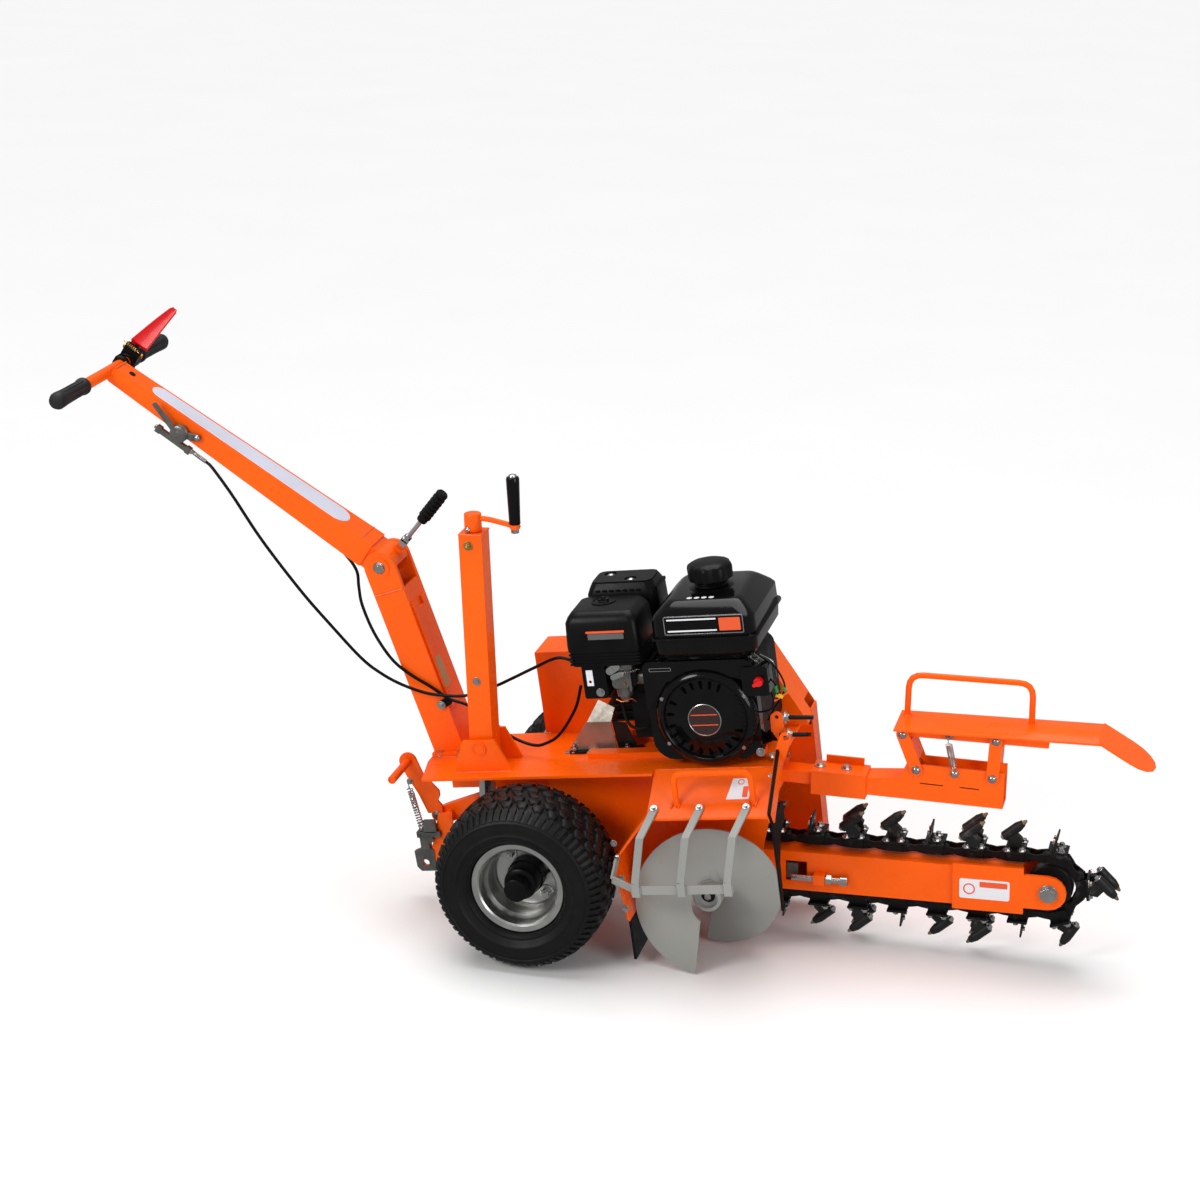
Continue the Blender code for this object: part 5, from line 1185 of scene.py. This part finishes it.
def make_grips():
    """Tapered hand grips with lengthwise flutes, a collar and a domed end."""
    x, z = BAR_AT
    for side, sign in (("near", -1), ("far", 1)):
        form = Form(HANDLE)
        levels = ((0.119, 0.0158, 0.0), (0.1205, 0.0165, 0.0), (0.126, 0.0165, 0.0), (0.129, 0.0148, 0.0),
                  (0.133, 0.014, 0.0006), (0.18, 0.0142, 0.0007), (0.206, 0.0148, 0.0006),
                  (0.214, 0.016, 0.0),
                  (0.228, 0.0164, 0.0), (0.2345, 0.014, 0.0), (0.2365, 0.01, 0.0), (0.237, 0.003, 0.0))
        rings = []
        for level, reach, wave in levels:
            ring = []
            for i in range(80):
                a = 2 * pi * i / 80
                r = reach + wave * (1 if cos(10 * a) > -0.3 else -1.4)
                ring.append((x + r * cos(a), level * sign, z + r * sin(a)))
            rings.append(ring)
        form.skin(rings)
        form.add(f"hand_grip_{side}", GRIP_RUBBER, "handle", 0.0, angle=35,
                 replaces=[f"grip_{side}"])


def make_clutch_lever():
    """A red tapered blade with a folded rim, its bracket on the bar, clamp screw and return spring."""
    px, py, pz = -0.649, 0.088, 0.0115
    form = Form(HANDLE)
    steps = 16
    rings = []
    for i in range(steps + 1):
        t = i / steps
        y, z = py - 0.008 + 0.14 * t, pz + 0.012 + 0.0405 * t + 0.003 * sin(pi * t)
        x = px + 0.012 - 0.009 * t
        half = (0.0185 - 0.0115 * t) * (1 if i < steps else 0.62)
        thick = 0.0036 - 0.0008 * t
        outline = [(-half, -thick), (half, -thick), (half + 0.0008, 0.0), (half - 0.001, thick),
                   (half * 0.5, thick * 0.5),
                   (-half * 0.5, thick * 0.5), (-half + 0.001, thick), (-half - 0.0008, 0.0)]
        rings.append([(x + a, y - b * 0.35, z + b) for a, b in outline])
    form.skin(rings)
    form.rod((px - 0.006, py, pz), (px + 0.0055, py, pz), 0.0092, 28)
    form.block((px - 0.0058, py - 0.004, pz - 0.004), (px + 0.0053, py + 0.012, pz + 0.0125))
    form.add("red_clutch_lever", RED, "clutch", 0.0008, 2, replaces=["clutch_lever"])
    bx, bz = BAR_AT
    clamp = Form(HANDLE)
    clamp.turned([(0.0113, 0.062), (0.016, 0.062), (0.017, 0.0635), (0.017, 0.0985), (0.016, 0.1),
                  (0.0113, 0.1)], (bx, 0, bz), (bx, 1, bz), 40)
    clamp.block((-0.6425, 0.0765, bz + 0.012), (-0.6355, 0.0935, pz + 0.01))
    clamp.block((-0.657, 0.064, bz + 0.008), (-0.622, 0.0775, pz + 0.008))
    clamp.rod((-0.648, 0.07, bz - 0.014), (-0.622, 0.07, bz - 0.006), 0.006, 14)
    clamp.turned([(0.0113, 0.038), (0.016, 0.038), (0.0166, 0.0395), (0.0166, 0.05), (0.0113, 0.051)],
                 (bx, 0, bz), (bx, 1, bz), 40)
    clamp.block((-0.6555, 0.037, -0.021), (-0.646, 0.062, -0.004))
    clamp.add("lever_clamp", BLACK_PLASTIC, "handle", 0.0014, replaces=["lever_bracket"])
    screws = Form(HANDLE)
    screws.bolt((-0.622, 0.07, pz + 0.001), (1, 0, 0), 0.006, 0.0035, washer=False)
    screws.bolt((-0.657, 0.068, pz - 0.002), (-1, 0, 0), 0.006, 0.0035, washer=False, domed=True)
    screws.helix((-0.656, 0.062, pz + 0.0085), (-0.631, 0.062, pz + 0.0065), 0.003, 0.0009, 6)
    screws.rod((px - 0.0085, py, pz), (px + 0.0075, py, pz), 0.0026, 14)
    screws.add("lever_screws", YELLOW_ZINC, "handle", 0.0003)


def make_throttle():
    tx, tz = -0.4575, -0.0212
    body = Form(HANDLE)
    body.turned([(0.0, -0.042), (0.012, -0.042), (0.015, -0.041), (0.0175, -0.0385), (0.0175, -0.033),
                 (0.0165, -0.0297), (0.0, -0.0297)], (tx, 0, tz), (tx, 1, tz), 36)
    body.plate(pill((tx + 0.012, tz + 0.004), (tx + 0.034, tz + 0.014), 0.0065), -0.039, -0.033)
    body.block((tx - 0.036, -0.0405, -0.0445), (tx + 0.03, -0.0305, -0.0345))
    body.block((tx - 0.043, -0.0412, -0.046), (tx - 0.032, -0.0303, -0.032))
    body.block((tx + 0.026, -0.0412, -0.046), (tx + 0.036, -0.0303, -0.032))
    body.block((tx - 0.012, -0.04, -0.034), (tx + 0.014, -0.031, -0.02))
    body.add("throttle_casting", CAST_GREY, "handle", 0.0012,
             replaces=["throttle_body"])
    bits = Form(HANDLE)
    for x in (tx - 0.043, tx + 0.036):
        out = -1 if x < tx else 1
        bits.bolt((x, -0.0355, -0.0385), (out, 0, 0), 0.0085, 0.004, washer=False)
    bits.bolt((tx + 0.034, -0.039, tz + 0.014), (0, -1, 0), 0.0075, 0.003, washer=False, domed=True)
    bits.rod((tx + 0.034, -0.0365, -0.0365), (tx + 0.046, -0.0368, -0.0365), 0.0046, 6)
    bits.helix((tx + 0.046, -0.0369, -0.0365), (tx + 0.062, -0.0374, -0.0365), 0.0036, 0.0008, 7, hooks=False)
    bits.rod((tx + 0.044, -0.037, -0.0365), (tx + 0.0715, -0.0375, -0.0363), 0.0022, 12)
    bits.rod((tx + 0.06, -0.0374, -0.0365), (tx + 0.0717, -0.0376, -0.0363), 0.004, 14)
    bits.add("throttle_adjuster", ZINC, "handle", 0.0003)
    arm = Form(HANDLE)
    arm.turned([(0.0, -0.0425), (0.0165, -0.0425), (0.0165, -0.045), (0.014, -0.0462), (0.006, -0.0466),
                (0.0055, -0.0475), (0.0, -0.0475)], (tx, 0, tz), (tx, 1, tz), 36)
    arm.plate(pill((tx, tz), (tx - 0.04, tz + 0.0145), 0.0055), -0.0465, -0.043)
    arm.plate(pill((tx - 0.038, tz + 0.0138), (tx - 0.0655, tz + 0.0235), 0.0048), -0.047, -0.0432)
    arm.add("throttle_arm", CAST_GREY, "throttle", 0.0008, replaces=["throttle_lever"])


def make_lock_lever():
    lx, lz = 0.007, 0.045
    place = HANDLE @ Matrix.Translation((lx, 0, lz))
    fork = Form(place)
    outline = arc((0, 0), 0.0072, 180, 360, 10) + [(0.0072, 0.014), (-0.0072, 0.014)]
    for low, high in ((-0.009, -0.0045), (0.0045, 0.009)):
        fork.plate(outline, low, high)
    fork.block((-0.0072, -0.009, 0.0105), (0.0072, 0.009, 0.017))
    fork.rod((0.0012, 0, 0.0165), (0.0018, 0, 0.024), 0.0075, 6)
    fork.rod((0.0012, 0, 0.016), (0.0062, 0, 0.072), 0.0045, 20)
    fork.rod((0, -0.0088, 0), (0, 0.0088, 0), 0.0029, 16)
    fork.add("lock_lever_rod", CHROME, "latch", 0.0006, replaces=["lock_lever"])
    knob = Form(place)
    start, end = Vector((0.0056, 0, 0.064)), Vector((0.0114, 0, 0.138))
    profile = [(0.0048, 0.0), (0.0095, 0.0), (0.0105, 0.003), (0.0105, 0.008)]
    for i in range(6):
        at = 0.01 + i * 0.009
        profile += [(0.0098, at), (0.0125, at + 0.0015), (0.0125, at + 0.0058), (0.0098, at + 0.0072)]
    profile += [(0.0118, 0.066), (0.012, 0.0705), (0.0095, 0.074), (0.0, 0.0742), (0.0, 0.01), (0.0048, 0.01)]
    knob.turned(profile, start, end, 28)
    knob.add("lock_lever_grip", RUBBER, "latch", 0.0, angle=50)


def make_handle_details():
    """The bar's weld, the beam's decal, a dark plate painted as the shade in its open lower end, and the fold
    joint's hood and bolts.
    """
    beads = Form(HANDLE)
    for sign in (-1, 1):
        weld_seam(beads, (-0.629, sign * 0.0245, -0.024), (-0.629, sign * 0.0245, 0.003), 0.0018)
    weld_seam(beads, (-0.6285, -0.023, 0.0045), (-0.6285, 0.023, 0.0045), 0.002)
    weld_seam(beads, (-0.06, -0.036, 0.0225), (-0.06, 0.036, 0.0225), 0.0016)
    beads.add("beam_weld", WELD, "handle", 0.0)
    slope = atan2(0.02, 0.593)
    on_top = Matrix.Translation((-0.628, 0.0, 0.0041)) @ Matrix.Rotation(-slope, 4, "Y")
    for name, trim, low, high, look in (("beam_decal_border", 0.0, 0.0, 0.0006, DECAL_WHITE),
                                        ("beam_decal", 0.0016, 0.0004, 0.001, DECAL_LILAC)):
        decal = Form(HANDLE)
        outer = arc((0.096, 0.0), 0.02 - trim, 90, 270, 14) + arc((0.498, 0.0), 0.0275 - trim, -90, 90, 14)
        decal.plate(outer, low, high, "Z", matrix=on_top)
        decal.add(name, look, "handle", 0.0)
    Form(HANDLE).rod((-0.6, -0.002, 0.0046), (-0.6, -0.002, 0.0062), 0.0065, 20).add(
        "beam_plug", BLACK_PLASTIC, "handle", 0.0004)
    # A dark orange plate across the beam's lower end: painted shade for its hollow inside.
    Form(HANDLE).plate([(-0.0325, -0.0225), (0.0325, -0.0225), (0.0325, 0.0205), (-0.0325, 0.0205)], -0.0352,
                       -0.0346, "X").add(
        "beam_end_painted_shade", PAINTED_SHADE_INSIDE, "handle", 0.0)
    ring = Form(MAST)
    for side in (-1, 1):
        ring.turned([(0.0115, side * 0.0446), (0.0195, side * 0.0446), (0.0195, side * 0.0465),
                     (0.0115, side * 0.0465)], (0, 0, 0), (0, 1, 0), 32)
    ring.add("fold_washers", ORANGE, "chassis", 0.0004)
    bolt = Form(MAST)
    bolt.rod((0, -0.0515, 0), (0, 0.0515, 0), 0.0059, 20)
    for side in (-1, 1):
        bolt.rod((0, side * 0.0452, 0), (0, side * 0.0508, 0), 0.0104, 6)
        bolt.rod((0, side * 0.0447, 0), (0, side * 0.0456, 0), 0.0113, 24)
    bolt.add("fold_joint_bolt", ZINC, "chassis", 0.0005, replaces=["fold_bolt"])
    beads = Form(MAST)
    weld_seam(beads, (-0.028, -0.0448, -0.0505), (0.029, -0.0448, -0.0505), 0.0022)
    weld_seam(beads, (-0.028, 0.0448, -0.0505), (0.029, 0.0448, -0.0505), 0.0022)
    beads.add("mast_weld", WELD, "chassis", 0.0)
    Form(MAST).plate([(-0.036, -0.3), (0.036, -0.3), (0.036, -0.085), (0.012, -0.085), (0.012, -0.1),
                      (-0.012, -0.1),
                      (-0.012, -0.085), (-0.036, -0.085)], 0.0302, 0.0345, "X").add(
        "mast_face_plate", ORANGE, "chassis", 0.0008)
    Form(MAST).block((0.0344, -0.032, -0.262), (0.035, -0.006, -0.2)).add(
        "mast_tag", DECAL_TAN, "chassis", 0.0)
    Form(MAST).plate(pill((0.02, -0.288), (0.036, -0.284), 0.008), -0.048, -0.0447, "Y",
                     [circle((0.02, -0.288), 0.003)]).add(
        "cable_clip", BLACK_PLASTIC, "chassis", 0.0004)
    Form(MAST).bolt((0.02, -0.0482, -0.288), (0, -1, 0), 0.009, 0.005).add(
        "cable_clip_bolt", ZINC, "chassis", 0.0004)


THROTTLE_ROUTE = (
    (-0.684, -0.038, 0.847), (-0.67, -0.043, 0.838), (-0.629, -0.052, 0.791), (-0.569, -0.06, 0.709),
    (-0.493, -0.066, 0.618), (-0.435, -0.068, 0.556), (-0.375, -0.066, 0.493), (-0.337, -0.064, 0.465),
    (-0.298, -0.062, 0.446), (-0.25, -0.061, 0.433), (-0.207, -0.06, 0.431), (-0.171, -0.06, 0.435),
    (-0.141, -0.062, 0.447), (-0.108, -0.064, 0.463), (-0.069, -0.07, 0.487), (-0.029, -0.08, 0.513),
    (0.02, -0.095, 0.543), (0.055, -0.1, 0.541), (0.097, -0.1, 0.522),
)
CLUTCH_ROUTE = (
    (-0.875, 0.074, 0.993), (-0.869, 0.052, 0.983), (-0.863, 0.028, 0.967), (-0.83, 0.004, 0.948),
    (-0.778, 0.0, 0.914), (-0.694, 0.0, 0.86), (-0.61, 0.0, 0.806), (-0.526, 0.0, 0.752),
    (-0.459, -0.008, 0.707), (-0.421, -0.014, 0.68), (-0.396, -0.02, 0.651), (-0.391, -0.024, 0.62),
    (-0.383, -0.03, 0.586), (-0.357, -0.04, 0.536), (-0.321, -0.0485, 0.491), (-0.286, -0.0495, 0.464),
    (-0.246, -0.049, 0.443), (-0.207, -0.049, 0.421), (-0.172, -0.05, 0.413), (-0.141, -0.05, 0.397),
    (-0.11, -0.05, 0.376), (-0.077, -0.055, 0.357), (-0.035, -0.065, 0.351), (-0.008, -0.075, 0.362),
    (0.022, -0.085, 0.388), (0.056, -0.1, 0.448), (0.07, -0.11, 0.499),
)


def make_cables():
    """Each cable is one fixed sheath along its route, level with the ground and on no body."""
    for name, route, start, end in (
        ("throttle_cable", THROTTLE_ROUTE, (-0.4, -0.062, 0.52), (-0.66, -0.045, 0.83)),
        ("clutch_cable", CLUTCH_ROUTE, (-0.386, -0.03, 0.6), (-0.43, -0.014, 0.69)),
    ):
        form = Form(LEVEL)
        form.tube(smooth_path(route, 0.006), 0.003, 14)
        bmesh.ops.recalc_face_normals(form.work, faces=form.work.faces)
        bmesh.ops.transform(form.work, matrix=form.place, verts=form.work.verts)
        mesh = bpy.data.meshes.new(name + "_sheath")
        form.work.to_mesh(mesh)
        form.work.free()
        mesh.materials.append(BLACK_PLASTIC)
        mesh.shade_smooth()
        piece = bpy.data.objects.new(name + "_sheath", mesh)
        bpy.context.scene.collection.objects.link(piece)
        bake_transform(piece)
        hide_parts(name)


# Boom and chain ----------------------------------------------------------------------------------

NOSE = (NOSE_AT - HEAD_AT).length
PITCH_RADIUS = 0.056
LINKS = 42
CHAIN_START = 0.02


def make_boom_details():
    bolts = Form(BOOM)
    bolts.rod((0.13, -0.0465, -0.008), (0.222, -0.0465, -0.008), 0.006, 20)
    for i in range(26):
        at = 0.142 + i * 0.003
        bolts.turned([(0.0058, at), (0.0064, at + 0.0008), (0.0058, at + 0.0016)], (0, -0.0465, -0.008),
                     (1, -0.0465, -0.008), 16)
    bolts.rod((0.222, -0.0465, -0.008), (0.2355, -0.0465, -0.008), 0.0092, 24)
    bolts.rod((0.196, -0.0465, -0.008), (0.206, -0.0465, -0.008), 0.0097, 6)
    bolts.add("boom_adjuster", ZINC, "chassis", 0.0004, replaces=["tension_bolt"])
    Form(BOOM).block((0.1715, -0.0545, -0.018), (0.1935, -0.0365, 0.002)).add(
        "adjuster_block", ORANGE, "chassis", 0.001)
    Form(BOOM).block((0.1185, -0.0352, -0.015), (0.1395, -0.025, 0.015)).add(
        "adjuster_slide", CAST_GREY, "chassis", 0.001)
    nose = Form(BOOM)
    nose.rod((NOSE, -0.05, 0), (NOSE, 0.05, 0), 0.01, 28)
    for side in (-1, 1):
        nose.rod((NOSE, side * 0.0422, 0), (NOSE, side * 0.044, 0), 0.0175, 36)
        nose.rod((NOSE, side * 0.0438, 0), (NOSE, side * (0.053 if side < 0 else 0.05), 0), 0.015, 6)
    nose.add("nose_axle_bolt", ZINC, "chassis", 0.0007, replaces=["nose_bolt"])
    Form(BOOM).plate(round_box((0.443, -0.022), (0.535, 0.017), 0.004), -0.0425, -0.0421).add(
        "boom_label", DECAL_WHITE, "chassis", 0.0)
    label = Form(BOOM)
    label.plate(round_box((0.48, 0.002), (0.531, 0.013), 0.0015), -0.0428, -0.0424)
    label.plate(circle((0.461, -0.003), 0.011, 28), -0.0428, -0.0424, "Y",
                [circle((0.461, -0.003), 0.0085, 28)])
    label.add("boom_label_marks", DECAL_ORANGE, "chassis", 0.0)
    Form(BOOM).turned([(0.0106, -0.03), (0.02, -0.03), (0.02, -0.0125), (0.04, -0.012), (0.0425, -0.0095),
                       (0.0425, 0.0095), (0.04, 0.012), (0.02, 0.0125), (0.02, 0.03), (0.0106, 0.03)],
                      (NOSE, 0, 0), (NOSE, 1, 0), 56).add(
        "nose_roller", BLACK_FRAME, "idler", 0.0, replaces=["tip_idler"])


def chain_place(distance):
    """(place, travel, outward) on the pitch line, from over the head shaft towards the nose, in (x, z)."""
    turn = pi * PITCH_RADIUS
    distance %= 2 * (NOSE + turn)
    if distance < NOSE:
        return Vector((distance, 0, PITCH_RADIUS)), Vector((1, 0, 0)), Vector((0, 0, 1))
    if distance < NOSE + turn:
        a = (distance - NOSE) / PITCH_RADIUS
        out = Vector((sin(a), 0, cos(a)))
        return Vector((NOSE, 0, 0)) + out * PITCH_RADIUS, Vector((cos(a), 0, -sin(a))), out
    if distance < 2 * NOSE + turn:
        return Vector((2 * NOSE + turn - distance, 0, -PITCH_RADIUS)), Vector((-1, 0, 0)), Vector((0, 0, -1))
    a = (distance - 2 * NOSE - turn) / PITCH_RADIUS
    out = Vector((-sin(a), 0, -cos(a)))
    return out * PITCH_RADIUS, Vector((-cos(a), 0, sin(a))), out


def chain_frame(distance):
    place, travel, out = chain_place(distance)
    side = out.cross(travel)
    return Matrix.Translation(place) @ Matrix((travel, side, out)).transposed().to_4x4()


def make_chain():
    length = 2 * (NOSE + pi * PITCH_RADIUS)
    pitch = length / LINKS
    links, zinc, picks, tips, blades = (Form(BOOM) for _ in range(5))
    for i in range(LINKS):
        start = chain_place(CHAIN_START + (i - 0.5) * pitch)[0]
        end = chain_place(CHAIN_START + (i + 0.5) * pitch)[0]
        travel = (end - start).normalized()
        side = Vector((0, 1, 0))
        out = travel.cross(side)
        if out.dot(chain_place(CHAIN_START + i * pitch)[2]) < 0:
            out = -out
        side = out.cross(travel)
        place = Matrix.Translation((start + end) / 2) @ Matrix((travel, side, out)).transposed().to_4x4()
        gap = (end - start).length / 2
        waist = [(-0.45 * gap, 0.0078), (0.0, 0.006), (0.45 * gap, 0.0078)]
        outline = (arc((gap, 0), 0.0105, -70, 70, 6) + [(x, z) for x, z in reversed(waist)]
                   + arc((-gap, 0), 0.0105, 110, 250, 6) + [(x, -z) for x, z in waist])
        inner = 0.0108 if i % 2 else 0.0075
        for sign in (-1, 1):
            low, high = sorted((sign * inner, sign * (inner + 0.003)))
            links.plate(outline, low, high, "Y", matrix=place)
        at = place @ Vector((gap, 0, 0))
        reach = side * 0.0148
        links.rod(at - reach, at + reach, 0.0042, 12)
        links.rod(at - side * 0.0072, at + side * 0.0072, 0.0085, 16)
        if i % 2:
            continue
        index = i // 2
        frame_here = chain_frame(CHAIN_START + i * pitch)

        def at_link(x, y, z):
            return frame_here @ Vector((x, y, z))

        def out_of(vector):
            return frame_here.to_3x3() @ Vector(vector)

        base = [(-0.0185, -0.029), (0.0185, -0.029), (0.0185, -0.017), (0.013, -0.013), (0.0185, -0.009),
                (0.0185, 0.029), (-0.0185, 0.029), (-0.0185, -0.009), (-0.013, -0.013), (-0.0185, -0.017)]
        links.plate(base, 0.0112, 0.016, "Z", matrix=frame_here)
        for sign in (-1, 1):
            low, high = sorted((sign * 0.0141, sign * 0.0175))
            links.plate([(-0.015, -0.008), (0.015, -0.008), (0.018, 0.012), (-0.018, 0.012)], low, high, "Y",
                        matrix=frame_here)
        if index % 3 == 2:
            blades.strut(at_link(-0.0095, 0, 0.0155), at_link(-0.006, 0, 0.047), 0.044, 0.0035,
                         out_of((0, 1, 0)))
            blades.strut(at_link(-0.01, 0, 0.0175), at_link(0.012, 0, 0.0175), 0.04, 0.003, out_of((0, 1, 0)))
            for y in (-0.012, 0.012):
                zinc.bolt(at_link(0.004, y, 0.019), out_of((0, 0, 1)), 0.009, 0.0055)
                zinc.bolt(at_link(-0.0095, y, 0.033), out_of((-1, 0, 0.1)), 0.008, 0.004, washer=False)
            continue
        for side_at in ((-0.0195, 0.0195) if index % 3 == 0 else (0.0,)):
            span = sorted((side_at - 0.007, side_at + 0.007))
            picks.plate([(-0.013, 0.0155), (0.008, 0.0155), (0.012, 0.031), (-0.001, 0.044), (-0.015, 0.036)],
                        *span, "Y", matrix=frame_here)
            back, front = at_link(-0.0225, side_at, 0.0325), at_link(0.0125, side_at, 0.0625)
            along = (front - back).normalized()
            picks.rod(back, back + along * 0.035, 0.0094, 24)
            picks.rod(back + along * 0.0345, front, 0.0092, 24, 0.0062)
            zinc.bolt(back + along * 0.0003, -along, 0.0085, 0.004)
            tips.rod(front - along * 0.0005, front + along * 0.008, 0.0052, 20, 0.002)
        for x, y in ((0.0125, -0.021), (0.0125, 0.021), (-0.0135, -0.0235), (-0.0135, 0.0235)):
            zinc.bolt(at_link(x, y, 0.016), out_of((0, 0, 1)), 0.0085, 0.0048)
    links.add("chain_links", CHAIN_BLACK, "chassis", 0.0005, 1, replaces=["digging_chain"])
    zinc.add("chain_bolts", ZINC, "chassis", 0.0003, 1)
    picks.add("chain_picks", PICK_STEEL, "chassis", 0.0008, 1)
    tips.add("pick_tips", CARBIDE, "chassis", 0.0003, 1)
    blades.add("chain_scrapers", PICK_STEEL, "chassis", 0.0005, 1)


# Skid guard --------------------------------------------------------------------------------------

def make_skid_details():
    for name, low, high, body in (
        ("front", (0.821, 0.364), (0.824, 0.438), "skid_front"),
        ("rear", (0.682, 0.366), (0.654, 0.433), "skid_rear"),
    ):
        form = Form(LEVEL)
        outline = pill(low, high, 0.0115, 10)
        for y in (-0.0285, 0.0245):
            form.plate(outline, y, y + 0.004)
        along = Vector((high[0] - low[0], 0, high[1] - low[1])).normalized()
        web = Vector((along.z, 0, -along.x)) * 0.0093
        start = Vector((low[0], 0, low[1])) + along * 0.016 + web
        end = Vector((high[0], 0, high[1])) - along * 0.016 + web
        form.strut(start, end, 0.05, 0.0035)
        form.add(f"skid_link_{name}_channel", ORANGE, body, 0.0008,
                 replaces=[f"skid_link_{name}"])
        bolts = Form(LEVEL)
        for x, z in (low, high):
            bolts.rod((x, -0.031, z), (x, 0.031, z), 0.004, 16)
            bolts.bolt((x, -0.0286, z), (0, -1, 0), 0.0088, 0.0038, domed=True)
            bolts.bolt((x, 0.0286, z), (0, 1, 0), 0.0095, 0.005)
        bolts.add(f"skid_link_{name}_bolts", ZINC, body, 0.0003)
    Form(LEVEL).helix((0.7395, -0.03, 0.424), (0.75, -0.03, 0.38), 0.0056, 0.001, 12).add(
        "skid_coil", ZINC, "chassis", 0.0, replaces=["skid_spring"])
    bolts = Form(LEVEL)
    bolts.bolt((0.7515, -0.0242, 0.365), (0, -1, 0), 0.0088, 0.0038, domed=True)
    bolts.rod((0.7515, -0.024, 0.365), (0.7515, -0.034, 0.365), 0.0028, 12)
    for x in (0.499, 0.549):
        bolts.bolt((x, 0.0, 0.3426), (0, 0, 1), 0.011, 0.0055)
    bolts.add("skid_arm_bolts", ZINC, "chassis", 0.0004)
    bolts = Form(LEVEL)
    bolts.bolt((0.7385, -0.0184, 0.437), (0, -1, 0), 0.0088, 0.0038, domed=True)
    bolts.rod((0.7385, -0.018, 0.437), (0.7385, -0.032, 0.435), 0.0026, 12)
    bolts.add("skid_plate_bolt", ZINC, "skid", 0.0004)
    # Thin dark plates at the arm's slots: painted shade standing for the openings.
    slots = Form(LEVEL)
    for low, high in ((0.69, 0.731), (0.763, 0.797)):
        slots.plate(pill((low, 0.3392), (high, 0.3388), 0.0009, 4), -0.0242, -0.0238)
    slots.add("skid_arm_slot_shade", PAINTED_SHADE_INSIDE, "chassis", 0.0)
    beads = Form(LEVEL)
    for x in (0.6545, 0.881):
        beads.turned([(0.005, 0.45), (0.0085, 0.4505), (0.0072, 0.4535), (0.005, 0.455)],
                     (x, 0.025, 0), (x, 0.025, 1), 20)
    beads.add("skid_weld", WELD, "skid", 0.0)


make_stage()
for node in ("deck", "undercarriage", "drive_guard", "auger_guard", "jack_post", "mast", "handle_beam",
             "handle_bar",
             "boom_bar", "skid_arm", "skid_plate", "swing_frame", "side_curtain", "rear_flap"):
    from_cad(node, ORANGE if node == "swing_frame" else None)
for node, piece in frame["nodes"].items():
    if not piece.hide_render:
        piece.data.materials.clear()
        piece.data.materials.append(LOOKS[SLOTS[node]])
for wheel_side, outside in (("near", -1), ("far", 1)):
    make_tyre(wheel_side)
    make_rim(wheel_side, outside)
for make in (make_tank, make_fuel_cap, make_air_cleaner, make_muffler_cover, make_recoil, make_switch,
             make_block, make_carburettor, make_heat_shield, make_chassis_details, make_cage, make_auger,
             make_pedal, make_jack_details, make_grips, make_clutch_lever, make_throttle, make_lock_lever,
             make_handle_details, make_cables, make_boom_details, make_chain, make_skid_details):
    make()
